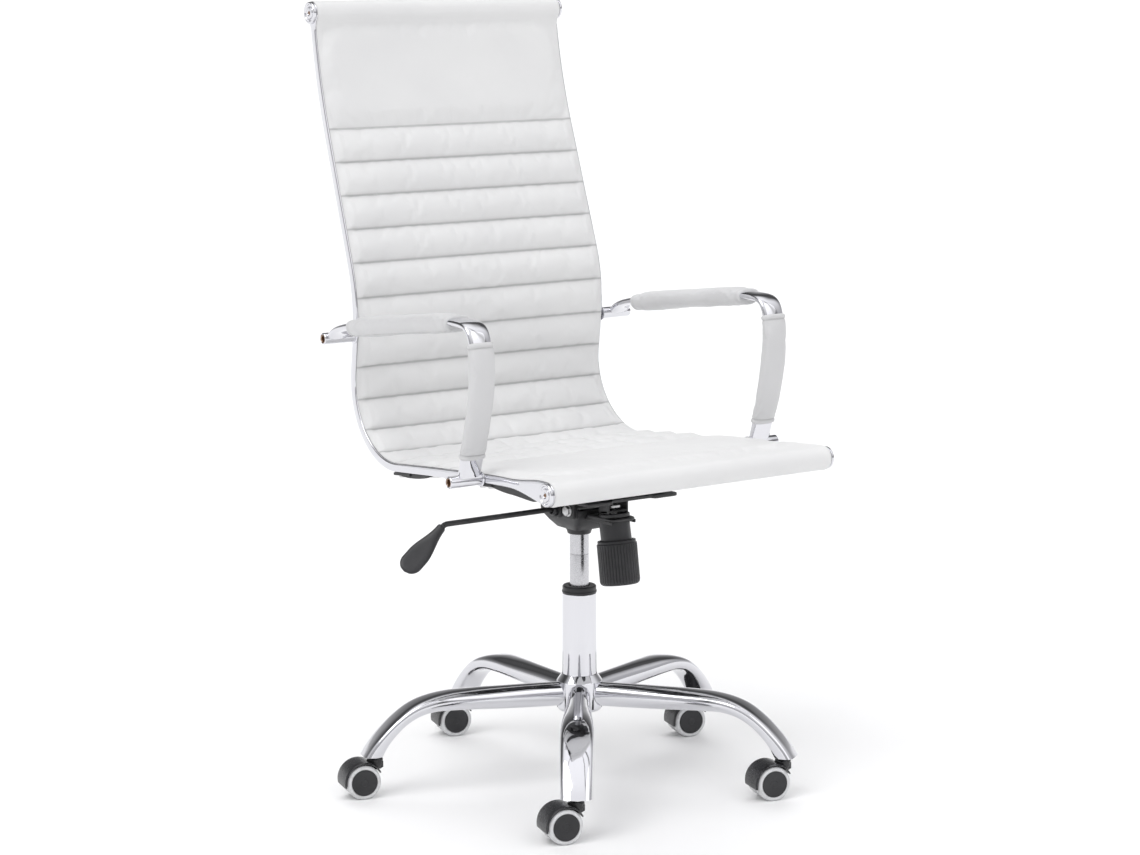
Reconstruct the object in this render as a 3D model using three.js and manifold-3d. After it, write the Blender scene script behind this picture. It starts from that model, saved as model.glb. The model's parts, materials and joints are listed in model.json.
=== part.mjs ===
// Office swivel chair: a ribbed leather sling stretched over a bent steel frame, padded loop arms,
// a tilt mechanism on a gas column, and a five-legged base on twin-wheel casters.
// Millimetres, +Z up. The chair faces -Y, so the sitter's right hand is on the -X side.
import * as THREE from 'three';
import { mergeVertices } from 'three/addons/utils/BufferGeometryUtils.js';
import Module from 'manifold-3d';

const wasm = await Module();
wasm.setup();

// ---------------------------------------------------------------- driving dimensions

const gap = 0.3;                 // clearance between pieces that touch
const slide = 0.4;               // radial clearance between pieces that turn or slide
const columnX = 15;              // the column's place, with the footprint's middle at the origin
const columnY = -52;

// casters
const wheelR = 25;
const wheelWidth = 17;
const wheelInset = 4.6;          // from the hood's middle plane to a wheel
const treadRound = 3;
const discR = 19;                // recessed outer disc of a wheel
const discDepth = 2;             // how far the disc sinks towards its middle
const wheelSides = 20;
const axleR = 3;
const axleOverhang = 1.5;        // how far the axle stops short of the wheels' outer faces
const casterTrail = 22;          // from the swivel axis back to the axle
const casterHeading = 165;       // direction the casters trail in, degrees from +X
const hoodClear = 1.6;           // between tread and hood
const hoodWall = 2.6;
const hoodFrom = -12;            // the hood's arc over the wheels, degrees
const hoodTo = 152;
const webThick = 8;
const hoodCollarR = 11.5;
const stemR = 5;
const stemSeat = 14;             // stem's depth in the hood
const stemReach = 18;            // stem's depth in the leg
const stemFlangeR = 9;
const stemFlange = 4;

// five-legged base
const legCount = 5;
const legTurn = -37.2;           // first leg's direction, degrees from -Y
const casterCircleR = 308;
const hubR = 33;
const hubNeckR = 28;
const hubBottom = 104;
const hubHeight = 47;
const hubNeck = 7;
const legAxisZ = 129;            // height of a leg's middle where it leaves the hub
const legRootWide = 33;
const legRootTall = 35;
const legWide = 46;              // a leg's widest, before the bend
const legTall = 24;              // its depth from the bend on
const legBend = 110;             // the bend starts this far inside the caster circle

// column
const tubeR = 25;
const tubeWall = 1.6;
const tubeTop = 278;
const tubeFloor = 2.5;
const bushFlange = 11;
const bushDepth = 40;
const liftR = 14;                // the gas cylinder that carries the seat
const liftBoreR = 11;
const liftLong = 193;
const liftStroke = 76;
const stopClear = 1;             // left between collar and bushing with the seat right down
const pistonRise = 25;           // the piston's height over the cylinder's mouth, fully raised
const pistonThick = 8;
const rodR = 4;
const bearingR = 15;
const bearingThick = 4.5;
const valveR = 4.5;
const valveDepth = 14;
const valveProud = 4.7;

// tilt mechanism, stacked on the column with the gas lift fully out
const collarR = 18;
const collarDrop = 8;
const houseHalf = 38;            // half the housing's width
const houseWall = 3;
const houseTall = 34;
const houseBottom = tubeTop + bushFlange + stopClear + liftStroke + collarDrop;
const houseTop = houseBottom + houseTall;
const houseFront = 46;           // ahead of the column
const houseRear = 48;            // behind it
const earTop = houseTop + 10;
const liftTop = houseBottom + 22;
const liftBottom = liftTop - liftLong;
const lipReach = 110;            // front lip that carries the spring cover
const lipThick = 4;
const tiltY = -30;
const tiltZ = houseTop;
const tiltAxleR = 5;
const plateBottom = tiltZ + 24;
const plateThick = 4;
const plateHalf = 80;
const plateFront = 132;
const plateRear = 112;
const plateEar = 3;
const leverR = 4;
const leverClear = 1.4;          // between the rod and the valve below it
const leverZ = liftTop + valveProud + leverClear + leverR;
const leverReach = 232;          // from the column's axis to the end of the straight rod
const leverInner = 14;           // how far the rod passes the valve
const bushR = 9;
const bushLong = 24;
const paddleLong = 85;
const paddleDrop = 41;           // degrees below the horizontal
const paddleTwist = 45;          // degrees its outer face is turned towards the front
const paddleWide = 32;
const paddleThick = 9;

// spring tension knob, on an axis that leans forwards as it goes down
const knobLean = 8.4;
const knobFootY = -99;
const knobFootZ = houseBottom - 67;
const knobR = 29;
const knobHeight = 64;
const knobFloor = 22;
const knobBottom = 5;            // thickness under the bolt's blind bore
const boltFrom = 15;             // the bolt's lower end, all along the knob's axis from its foot
const coverR = 22;
const coverWall = 2.5;
const coverFrom = 48;
const lipAt = 93;
const hookAt = 103.4;
const hookThick = 3.5;
const boltR = 4.5;
const boltHeadR = 10;
const boltHeadRise = 3;          // the head's underside is a cone, so the hook can tilt under it
const boltHeadTall = 6;
const boltPlay = 3.5;            // radial room round the bolt in the lip and the hook
const springR = 14.5;
const springWire = 3.4;
const springTurns = 5;
const washerR = 18.5;
const washerThick = 3;

// frame and sling
const topWidth = 438;            // over the rails at the top tube
const frontWidth = 485;          // over the rails at the front tube
const frontTubeY = -259;
const frontTubeZ = plateBottom + 55.6;
const railWide = 6;
const railDeep = 12;
const railEyeR = 16;
const railFlare = 95;            // length over which a rail widens into its front eye
const crossTubeR = 9;
const crossTubeWall = 1.5;
const slingThick = 12;
const rollR = 17;                // sling rolled round the cross tubes
const capR = 16;
const capThick = 4;
const capStub = 9;
const supportThick = 4;
const supportWide = 42;
const frontSupportY = -100;
const rearSupportY = 118;
const supportFlat = 76;          // half the length of a support's flat middle
const supportFoot = 32;          // length of the foot under each rail

// the rails' side outline, from the front tube to the top tube: stretches of constant curvature
const startHeading = 3;          // degrees above the horizontal, going back
const railRun = [
  { long: 150, turn: -7, steps: 4 },       // crown behind the front edge
  { long: 243, turn: -1.5, steps: 3 },     // seat
  { long: 202, turn: 102.5, steps: 12 },   // seat to back
  { long: 45, turn: 0, steps: 1 },
  { long: 114, turn: -25.5, steps: 6 },    // lumbar
  { long: 195, turn: 0, steps: 1 },        // back
  { long: 180, turn: 12, steps: 5 },       // headrest
];

// arms
const armOffset = 21;            // from a rail's outer face to the middle of the arm at its front boss
const armSplay = 11;             // how much further out the arm stands at its rear boss
const armWide = 36;
const armThick = 14;
const padWall = 2.2;
const bossR = 8.5;
const bossLong = 54;
const bossBoreR = 4.6;
const armBoltR = 3.2;
const bossFloor = 6;
const armRearZ = frontTubeZ + 157.4;   // height of the rear boss on the rail
const armFrontY = -94;           // place of the front boss on the rail
const armRise = 58;              // from the rear boss up to the pad's middle at the front
const armFall = 36;              // how much lower the pad is at the rear
const armFrontBend = 30;
const armLean = 32;              // how far the upright's top stands ahead of the front boss

const colours = {
  chrome: { color: 0xe6e7ea, roughness: 0.08, metalness: 1 },
  steel: { color: 0xb4b7ba, roughness: 0.3, metalness: 0.9 },
  black: { color: 0x1b1b1d, roughness: 0.45, metalness: 0 },
  blackSteel: { color: 0x17181a, roughness: 0.5, metalness: 0.3 },
  leather: { color: 0xe9e9e8, roughness: 0.5, metalness: 0 },
  tyre: { color: 0xd8d9da, roughness: 0.5, metalness: 0 },
};

// ---------------------------------------------------------------- shared helpers

const radians = THREE.MathUtils.degToRad;
const vec2 = (x, y) => new THREE.Vector2(x, y);

function mesh(name, geometry, look, position = [0, 0, 0], turn = [0, 0, 0]) {
  const piece = new THREE.Mesh(geometry, new THREE.MeshStandardMaterial(colours[look]));
  piece.name = name;
  piece.position.set(...position);
  piece.rotation.set(...turn);
  return piece;
}

function toSolid(geometry) {
  const bare = geometry.clone();
  bare.deleteAttribute('normal');
  bare.deleteAttribute('uv');
  const merged = mergeVertices(bare, 1e-4);
  const corners = [];
  for (let i = 0; i < merged.index.count; i += 3) {
    const [a, b, c] = [0, 1, 2].map((k) => merged.index.getX(i + k));
    if (a !== b && b !== c && c !== a) corners.push(a, b, c);
  }
  return new wasm.Manifold(new wasm.Mesh({
    numProp: 3,
    vertProperties: new Float32Array(merged.attributes.position.array),
    triVerts: new Uint32Array(corners),
  }));
}

function fromSolid(solid) {
  const made = solid.getMesh();
  const geometry = new THREE.BufferGeometry();
  geometry.setAttribute('position', new THREE.BufferAttribute(made.vertProperties, 3));
  geometry.setIndex(new THREE.BufferAttribute(made.triVerts, 1));
  return geometry;
}

function combine({ join, cut = [] }) {
  const whole = join.map(toSolid).reduce((a, b) => a.add(b));
  return fromSolid(cut.map(toSolid).reduce((a, b) => a.subtract(b), whole));
}

// A solid turned about Z from a closed outline of [radius, height] points, anticlockwise.
function turned(outline, sides) {
  const points = outline.map(([r, z]) => vec2(r, z));
  points.push(points[0].clone());
  return new THREE.LatheGeometry(points, sides).rotateX(Math.PI / 2);
}

const rod = (r, from, to, sides) => turned([[0, from], [r, from], [r, to], [0, to]], sides);
const ring = (inner, outer, from, to, sides) => (
  turned([[inner, from], [outer, from], [outer, to], [inner, to]], sides));

const alongX = (geometry) => geometry.rotateY(Math.PI / 2);

function box(sizeX, sizeY, sizeZ, x, y, z) {
  return new THREE.BoxGeometry(sizeX, sizeY, sizeZ).translate(x, y, z);
}

// An outline in the side plane (its x is the chair's Y, its y is Z), given a width along X.
function sideSlab(shape, fromX, toX) {
  const slab = new THREE.ExtrudeGeometry(shape, { depth: toX - fromX, bevelEnabled: false, curveSegments: 10 });
  const basis = new THREE.Matrix4().makeBasis(
    new THREE.Vector3(0, 1, 0), new THREE.Vector3(0, 0, 1), new THREE.Vector3(1, 0, 0));
  return slab.applyMatrix4(basis).translate(fromX, 0, 0);
}

function ovalShape(wide, tall, sides, hole) {
  const oval = (w, t) => Array.from({ length: sides }, (_, i) => {
    const angle = (i / sides) * 2 * Math.PI;
    return vec2(w / 2 * Math.cos(angle), t / 2 * Math.sin(angle));
  });
  const shape = new THREE.Shape(oval(wide, tall));
  if (hole) shape.holes.push(new THREE.Path(oval(...hole)));
  return shape;
}

function sweep(shape, curve, steps) {
  return new THREE.ExtrudeGeometry(shape, { extrudePath: curve, steps, bevelEnabled: false });
}

// Rings of points, each the same count and anticlockwise seen from the last, skinned and capped.
function loft(rings) {
  const count = rings[0].length;
  const points = rings.flat();
  const faces = [];
  for (let k = 0; k + 1 < rings.length; k += 1) {
    for (let i = 0; i < count; i += 1) {
      const a = k * count + i;
      const b = k * count + (i + 1) % count;
      faces.push(a, b, b + count, a, b + count, a + count);
    }
  }
  const last = (rings.length - 1) * count;
  for (let i = 1; i + 1 < count; i += 1) {
    faces.push(0, i + 1, i, last, last + i, last + i + 1);
  }
  const geometry = new THREE.BufferGeometry().setFromPoints(points);
  geometry.setIndex(faces);
  return geometry;
}

// ---------------------------------------------------------------- the rails' side outline

function walkRun() {
  const path = [];
  let heading = radians(startHeading);
  let y = frontTubeY;
  let z = frontTubeZ;
  let along = 0;
  path.push({ y, z, heading, along });
  for (const { long, turn, steps } of railRun) {
    const bend = radians(turn) / steps;
    const stride = long / steps;
    const chord = bend === 0 ? stride : 2 * (stride / bend) * Math.sin(bend / 2);
    for (let i = 0; i < steps; i += 1) {
      y += chord * Math.cos(heading + bend / 2);
      z += chord * Math.sin(heading + bend / 2);
      heading += bend;
      along += stride;
      path.push({ y, z, heading, along });
    }
  }
  return path;
}

const run = walkRun();
const topTube = run[run.length - 1];
const runLength = topTube.along;

// The outline's place and direction at a distance from the front tube.
function at(along) {
  const after = Math.max(1, run.findIndex((p) => p.along >= Math.min(along, runLength)));
  const [a, b] = [run[after - 1], run[after]];
  const t = (along - a.along) / (b.along - a.along);
  return {
    y: THREE.MathUtils.lerp(a.y, b.y, t),
    z: THREE.MathUtils.lerp(a.z, b.z, t),
    heading: THREE.MathUtils.lerp(a.heading, b.heading, t),
    along,
  };
}

function alongWhere(test) {
  const step = 0.5;
  let along = 0;
  while (along < runLength && !test(at(along))) along += step;
  return along;
}

// A band round the outline: half its depth is given at each distance, and both ends are round.
function band(halfDeep, extra = []) {
  const stops = [...new Set([...run.map((p) => p.along), ...extra])].sort((a, b) => a - b);
  const faceSide = [];
  const backSide = [];
  for (const p of stops.map(at)) {
    const half = halfDeep(p.along);
    const side = vec2(-Math.sin(p.heading) * half, Math.cos(p.heading) * half);
    faceSide.push(vec2(p.y + side.x, p.z + side.y));
    backSide.push(vec2(p.y - side.x, p.z - side.y));
  }
  const endArc = (centre, heading, radius) => Array.from({ length: 9 }, (_, i) => {
    const angle = heading - Math.PI / 2 + (i + 1) * (Math.PI / 10);
    return vec2(centre.y + radius * Math.cos(angle), centre.z + radius * Math.sin(angle));
  });
  return new THREE.Shape([
    ...backSide,
    ...endArc(topTube, topTube.heading, halfDeep(runLength)),
    ...faceSide.reverse(),
    ...endArc(run[0], run[0].heading + Math.PI, halfDeep(0)),
  ]);
}

function holeAt(shape, place, radius) {
  shape.holes.push(new THREE.Path().absarc(place.y, place.z, radius, 0, 2 * Math.PI, true));
}

// Half the chair's width over the rails: they stand closer together at the back than at the front.
const flare = (frontWidth - topWidth) / 2 / (topTube.y - frontTubeY);
const halfOver = (y) => topWidth / 2 + (topTube.y - y) * flare;

// ---------------------------------------------------------------- casters

// The tread is a polygon with a flat side down, and its flats lie at the wheel's radius.
function wheelGeometry() {
  const treadR = wheelR / Math.cos(Math.PI / wheelSides);
  return alongX(turned([
    [axleR + slide, 0],
    [treadR - treadRound, 0],
    [treadR, treadRound],
    [treadR, wheelWidth - treadRound],
    [treadR - treadRound, wheelWidth],
    [discR, wheelWidth],
    [axleR + slide, wheelWidth - discDepth],
  ], wheelSides).rotateZ(Math.PI / wheelSides));
}

const hoodOuterR = wheelR + hoodClear + hoodWall;
const hoodTop = wheelR + hoodOuterR;
const hoodHalf = wheelInset + wheelWidth;

// Local frame of a caster: the swivel axis is Z, the wheels trail towards +X, the axle is along Y.
function hoodGeometry() {
  const from = radians(hoodFrom);
  const to = radians(hoodTo);
  const shell = new THREE.Shape();
  shell.absarc(casterTrail, wheelR, hoodOuterR, from, to, false);
  shell.absarc(casterTrail, wheelR, hoodOuterR - hoodWall, to, from, true);
  const web = new THREE.Shape();
  web.absarc(casterTrail, wheelR, hoodOuterR - hoodWall / 2, from, to, false);
  web.lineTo(casterTrail - axleR * 2, wheelR - axleR * 2);
  web.lineTo(casterTrail + axleR * 2, wheelR - axleR * 2);
  const flat = (shape, half) => (
    new THREE.ExtrudeGeometry(shape, { depth: 2 * half, bevelEnabled: false, curveSegments: 5 })
      .rotateX(Math.PI / 2).translate(0, half, 0));
  const wheelRoomR = wheelR + hoodClear * 0.8;
  const wheelRoom = (side) => (
    new THREE.CylinderGeometry(wheelRoomR, wheelRoomR, wheelWidth + 2, 16)
      .translate(casterTrail, side * (webThick / 2 + wheelWidth / 2 + 1), wheelR));
  return combine({
    join: [
      flat(shell, hoodHalf),
      flat(web, webThick / 2),
      rod(hoodCollarR, hoodTop - stemSeat - 3, hoodTop + 1, 12),
    ],
    cut: [
      rod(stemR + slide, hoodTop - stemSeat, hoodTop + 2, 10),
      rod(axleR + gap, -hoodHalf, hoodHalf, 8).rotateX(Math.PI / 2).translate(casterTrail, 0, wheelR),
      wheelRoom(1),
      wheelRoom(-1),
    ],
  });
}

const legTipZ = hoodTop + 1 + gap + stemFlange + gap;

function stemGeometry() {
  const bottom = hoodTop - stemSeat + 1;
  const flangeFrom = hoodTop + 1 + gap;
  const flangeTo = flangeFrom + stemFlange;
  return turned([
    [0, bottom], [stemR, bottom], [stemR, flangeFrom], [stemFlangeR, flangeFrom],
    [stemFlangeR, flangeTo], [stemR, flangeTo], [stemR, legTipZ + stemReach], [0, legTipZ + stemReach],
  ], 10);
}

const legDirection = (index) => radians(legTurn + index * 360 / legCount);

function casters() {
  const made = [];
  for (let i = 0; i < legCount; i += 1) {
    const n = i + 1;
    const t = legDirection(i);
    const caster = new THREE.Group();
    caster.position.set(casterCircleR * Math.sin(t), -casterCircleR * Math.cos(t), 0);
    caster.rotation.z = radians(casterHeading);
    const wheel = wheelGeometry().rotateZ(Math.PI / 2);
    const axle = rod(axleR, -hoodHalf + axleOverhang, hoodHalf - axleOverhang, 8).rotateX(Math.PI / 2);
    const hub = [casterTrail, 0, wheelR];
    caster.add(mesh(`caster_${n}_stem`, stemGeometry(), 'steel'));
    caster.add(mesh(`caster_${n}_hood`, hoodGeometry(), 'black'));
    caster.add(mesh(`caster_${n}_axle`, axle, 'steel', hub));
    caster.add(mesh(`caster_${n}_wheel_a`, wheel, 'tyre', [casterTrail, wheelInset, wheelR]));
    caster.add(mesh(`caster_${n}_wheel_b`, wheel.clone(), 'tyre', [casterTrail, -wheelInset, wheelR],
      [0, 0, Math.PI]));
    made.push(caster);
  }
  return made;
}

// ---------------------------------------------------------------- base and column

// One leg in the plane X = 0, running out along +Y: an oval tube that flattens and bends down.
function legGeometry() {
  const outer = casterCircleR;
  const middle = new THREE.CatmullRomCurve3([
    [tubeR - 5, legAxisZ], [outer - 198, legAxisZ], [outer - legBend, legAxisZ + 1.5],
    [outer - 63, legAxisZ - 4], [outer - 19, legTipZ + 33], [outer + 6, legTipZ], [outer + 20, legTipZ - 20],
  ].map(([y, z]) => new THREE.Vector3(0, y, z)), false, 'centripetal');
  const stations = 10;
  const sides = 10;
  const rings = [];
  for (let k = 0; k < stations; k += 1) {
    const t = k / (stations - 1);
    const place = middle.getPointAt(t);
    const ahead = middle.getTangentAt(t);
    const spread = THREE.MathUtils.smoothstep(t, 0.1, 0.55);
    const wide = THREE.MathUtils.lerp(legRootWide, legWide, spread) / 2;
    const tall = THREE.MathUtils.lerp(legRootTall, legTall, THREE.MathUtils.smoothstep(t, 0.2, 0.65)) / 2;
    rings.push(Array.from({ length: sides }, (_, i) => {
      const angle = (i / sides) * 2 * Math.PI;
      const lift = -tall * Math.sin(angle);
      return new THREE.Vector3(
        wide * Math.cos(angle), place.y - ahead.z * lift, place.z + ahead.y * lift);
    }));
  }
  return loft(rings);
}

function baseStar() {
  const hub = turned([
    [tubeR - 4, hubBottom], [hubR - 3, hubBottom], [hubR, hubBottom + 5], [hubR, hubBottom + hubHeight - 5],
    [hubNeckR, hubBottom + hubHeight], [hubNeckR, hubBottom + hubHeight + hubNeck],
    [tubeR - 4, hubBottom + hubHeight + hubNeck],
  ], 28);
  const legs = [];
  const bores = [];
  for (let i = 0; i < legCount; i += 1) {
    const t = legDirection(i);
    legs.push(legGeometry().rotateZ(t + Math.PI));
    bores.push(rod(stemR + gap, legTipZ - 1, legTipZ + stemReach + 1, 10)
      .translate(casterCircleR * Math.sin(t), -casterCircleR * Math.cos(t), 0));
  }
  const underTips = box(3 * casterCircleR, 3 * casterCircleR, legTipZ, 0, 0, legTipZ / 2);
  const columnBore = rod(tubeR + gap, hubBottom - 1, hubBottom + hubHeight + hubNeck + 1, 28);
  return combine({ join: [hub, ...legs], cut: [underTips, columnBore, ...bores] });
}

const tubeBottom = hubBottom + 2;
const floorTop = tubeBottom + tubeFloor;
const shoulderAt = floorTop + gap + bearingThick + gap;

function columnPieces() {
  const tube = turned([
    [rodR + slide, tubeBottom], [tubeR, tubeBottom], [tubeR, tubeTop], [tubeR - tubeWall, tubeTop],
    [tubeR - tubeWall, floorTop], [rodR + slide, floorTop],
  ], 28);
  const bush = turned([
    [liftR + slide, tubeTop - bushDepth], [tubeR - tubeWall - gap, tubeTop - bushDepth],
    [tubeR - tubeWall - gap, tubeTop + gap], [tubeR, tubeTop + gap], [tubeR, tubeTop + bushFlange - 1.5],
    [tubeR - 1.5, tubeTop + bushFlange], [liftR + slide, tubeTop + bushFlange],
  ], 28);
  const bearing = ring(rodR + slide, bearingR, floorTop + gap, floorTop + gap + bearingThick, 16);
  return [
    mesh('column_tube', tube, 'chrome'),
    mesh('column_bushing', bush, 'black'),
    mesh('thrust_bearing', bearing, 'steel'),
  ];
}

// The rod turns with the seat but stays at the foot of the column; the gas cylinder slides on its piston.
function pistonRod() {
  const pistonFrom = liftBottom + pistonRise;
  return turned([
    [0, tubeBottom - 6], [rodR, tubeBottom - 6], [rodR, shoulderAt], [rodR * 2, shoulderAt],
    [rodR * 2, shoulderAt + 2.5], [rodR, shoulderAt + 2.5], [rodR, pistonFrom],
    [liftBoreR - slide, pistonFrom], [liftBoreR - slide, pistonFrom + pistonThick],
    [0, pistonFrom + pistonThick],
  ], 12);
}

function gasCylinder() {
  const boreTop = liftTop - valveDepth - 8;
  return combine({
    join: [rod(liftR, liftBottom, liftTop, 24)],
    cut: [
      rod(liftBoreR, liftBottom - 1, boreTop, 16),
      rod(valveR + slide, liftTop - valveDepth, liftTop + 1, 10),
    ],
  });
}

const valveButton = () => rod(valveR, liftTop - valveDepth + 6, liftTop + valveProud, 10);

// ---------------------------------------------------------------- tilt mechanism

function mechanismHousing() {
  const lipTop = houseTop - 4;
  const outer = new THREE.Shape([
    [houseRear, houseBottom], [houseRear, houseTop - 10], [14, houseTop], [13, earTop - 1],
    [tiltY + 14, earTop], [tiltY - 14, earTop], [-houseFront, houseTop], [-houseFront, houseBottom],
  ].map(([y, z]) => vec2(y, z)));
  const shell = sideSlab(outer, -houseHalf, houseHalf);
  const cavity = box(
    2 * (houseHalf - houseWall), houseFront + houseRear - 2 * houseWall, earTop,
    0, (houseRear - houseFront) / 2, houseBottom + houseWall + earTop / 2);
  const lip = box(
    2 * (coverR + 4), lipReach - houseFront + houseWall, lipThick,
    0, -(lipReach + houseFront - houseWall) / 2, lipTop - lipThick / 2);
  const cross = (r, y, z) => alongX(rod(r, -houseHalf - 9, houseHalf + 9, 12)).translate(0, y, z);
  return combine({
    join: [shell, lip, turned([[0, houseBottom - collarDrop], [collarR - 2, houseBottom - collarDrop],
      [collarR + 3, houseBottom + 1], [0, houseBottom + 1]], 20)],
    cut: [
      cavity,
      rod(liftR + gap, houseBottom - collarDrop - 1, houseBottom + houseWall + 1, 20),
      cross(tiltAxleR + gap, tiltY, tiltZ),
      alongX(rod(bushR + slide, 0, houseHalf + 9, 16)).translate(-houseHalf - 9, 0, leverZ),
      alongKnob(rod(boltR + boltPlay, lipAt - 12, lipAt + 14, 12)),
    ],
  });
}

// Turns a piece made along Z onto the knob's leaning axis, which starts at the knob's foot.
function alongKnob(geometry) {
  return geometry.rotateX(-radians(knobLean)).translate(0, knobFootY, knobFootZ);
}

const lipBottomZ = houseTop - 4 - lipThick;

function springCover() {
  const tube = alongKnob(ring(coverR - coverWall, coverR, coverFrom, lipAt + 12, 24));
  const above = box(4 * coverR, 4 * coverR, 60, 0, knobFootY, lipBottomZ - gap + 30);
  return combine({ join: [tube], cut: [above] });
}

function tensionKnob() {
  return alongKnob(turned([
    [0, 0], [knobR - 2, 0], [knobR, 3], [knobR, knobHeight - 3], [knobR - 1.5, knobHeight],
    [coverR + 1.6, knobHeight], [coverR + 1.6, knobFloor], [boltR + slide, knobFloor],
    [boltR + slide, knobBottom], [0, knobBottom],
  ], 24));
}

function tensionBolt() {
  const headFrom = hookAt + hookThick + gap;
  return alongKnob(turned([
    [0, boltFrom], [boltR, boltFrom], [boltR, headFrom], [boltHeadR, headFrom + boltHeadRise],
    [boltHeadR, headFrom + boltHeadTall], [0, headFrom + boltHeadTall],
  ], 12));
}

const springWasher = () => alongKnob(
  ring(boltR + slide, washerR, knobFloor + gap, knobFloor + gap + washerThick, 16));

class Helix extends THREE.Curve {
  constructor(radius, from, to, turns) {
    super();
    Object.assign(this, { radius, from, to, turns });
  }

  getPoint(t, target = new THREE.Vector3()) {
    const angle = t * this.turns * 2 * Math.PI;
    return target.set(
      this.radius * Math.cos(angle), this.radius * Math.sin(angle), THREE.MathUtils.lerp(this.from, this.to, t));
  }
}

function tensionSpring() {
  const from = knobFloor + gap + washerThick + springWire / 2 + 0.5;
  const to = (lipBottomZ - knobFootZ) / Math.cos(radians(knobLean)) - springWire / 2 - 3.5;
  const curve = new Helix(springR, from, to, springTurns);
  return alongKnob(sweep(ovalShape(springWire, springWire, 5), curve, springTurns * 8));
}

function seatPlate() {
  const depth = plateFront + plateRear;
  const plate = box(2 * plateHalf, depth, plateThick,
    0, (plateRear - plateFront) / 2, plateBottom + plateThick / 2);
  const earX = houseHalf + gap + plateEar / 2;
  const earDeep = plateBottom - tiltZ + 12;
  const ear = (side) => box(plateEar, 26, earDeep + 1, side * earX, tiltY, plateBottom + 0.5 - earDeep / 2);
  const hookTop = alongKnob(box(2 * 18, 22, hookThick, 0, 0, hookAt + hookThick / 2));
  const hookY = knobFootY + hookAt * Math.sin(radians(knobLean));
  const hookZ = knobFootZ + hookAt * Math.cos(radians(knobLean));
  const cheek = (side) => box(3, 22, plateBottom - hookZ + 1, side * 16.5, hookY, (plateBottom + hookZ + 1) / 2);
  return combine({
    join: [plate, ear(-1), ear(1), hookTop, cheek(-1), cheek(1)],
    cut: [
      alongX(rod(tiltAxleR + slide, -earX - 5, earX + 5, 12)).translate(0, tiltY, tiltZ),
      alongKnob(rod(boltR + boltPlay, hookAt - 3, hookAt + hookThick + 3, 12)),
    ],
  });
}

function tiltAxle() {
  const half = houseHalf + gap + plateEar + 4;
  return alongX(rod(tiltAxleR, -half, half, 12)).translate(0, tiltY, tiltZ);
}

function mechanismPieces() {
  return [
    mesh('gas_cylinder', gasCylinder(), 'steel'),
    mesh('valve_button', valveButton(), 'steel'),
    mesh('mechanism_housing', mechanismHousing(), 'blackSteel'),
    mesh('tilt_axle', tiltAxle(), 'steel'),
    mesh('spring_cover', springCover(), 'black'),
    mesh('tension_spring', tensionSpring(), 'steel'),
    mesh('spring_washer', springWasher(), 'steel'),
    mesh('tension_bolt', tensionBolt(), 'steel'),
    mesh('tension_knob', tensionKnob(), 'black'),
    mesh('seat_plate', seatPlate(), 'blackSteel'),
  ];
}

// ---------------------------------------------------------------- height lever

// The rod tips in a slotted bush in the housing's wall, and its inner end lies over the valve.
function leverPieces() {
  const bushShape = new THREE.Shape().absarc(0, 0, bushR, 0, 2 * Math.PI, false);
  const slotWide = leverR + slide;
  const slotTall = leverR + 2;
  bushShape.holes.push(new THREE.Path([
    vec2(-slotWide, -slotTall), vec2(-slotWide, slotTall), vec2(slotWide, slotTall), vec2(slotWide, -slotTall),
  ]));
  const bushMiddle = -houseHalf + houseWall / 2;
  const bush = sideSlab(bushShape, bushMiddle - bushLong / 2, bushMiddle + bushLong / 2);
  const rodPiece = alongX(rod(leverR, -leverReach, leverInner, 10));

  const paddleShape = new THREE.Shape();
  const half = paddleWide / 2;
  paddleShape.moveTo(0, -leverR - 1);
  paddleShape.quadraticCurveTo(paddleLong * 0.35, -half * 0.55, paddleLong * 0.62, -half);
  paddleShape.absarc(paddleLong - half, 0, half, -Math.PI / 2, Math.PI / 2, false);
  paddleShape.quadraticCurveTo(paddleLong * 0.35, half * 0.55, 0, leverR + 1);
  const paddle = new THREE.ExtrudeGeometry(
    paddleShape, { depth: paddleThick, bevelEnabled: false, curveSegments: 8 })
    .translate(0, 0, -paddleThick / 2)
    .rotateX(-radians(paddleTwist))
    .rotateY(radians(180 - paddleDrop))
    .translate(-leverReach - gap - paddleThick / 2 - 1, 0, 0);
  return [
    mesh('lever_bush', bush, 'black', [0, 0, leverZ]),
    mesh('lever_rod', rodPiece, 'blackSteel', [0, 0, leverZ]),
    mesh('lever_paddle', paddle, 'black', [0, 0, leverZ]),
  ];
}

// ---------------------------------------------------------------- frame, sling and arms

const eyeReach = Math.sqrt(railEyeR ** 2 - (railDeep / 2) ** 2);

function railGeometry(side) {
  const deep = (along) => {
    const fromFront = along;
    const fromTop = runLength - along;
    const widened = THREE.MathUtils.lerp(railEyeR, railDeep / 2,
      THREE.MathUtils.smoothstep(fromFront, 0, railFlare));
    const topEye = fromTop < eyeReach ? Math.sqrt(railEyeR ** 2 - fromTop ** 2) : 0;
    return Math.max(widened, topEye, railDeep / 2);
  };
  const extra = [0.15, 0.3, 0.45, 0.6, 0.8, 1].map((f) => f * railFlare);
  const eye = [0.35, 0.7, 0.9, 1].map((f) => runLength - f * eyeReach);
  const shape = band(deep, [...extra, ...eye]);
  holeAt(shape, run[0], crossTubeR + gap + 0.2);
  holeAt(shape, topTube, crossTubeR + gap + 0.2);
  return side > 0 ? sideSlab(shape, -railWide, 0) : sideSlab(shape, 0, railWide);
}

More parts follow.
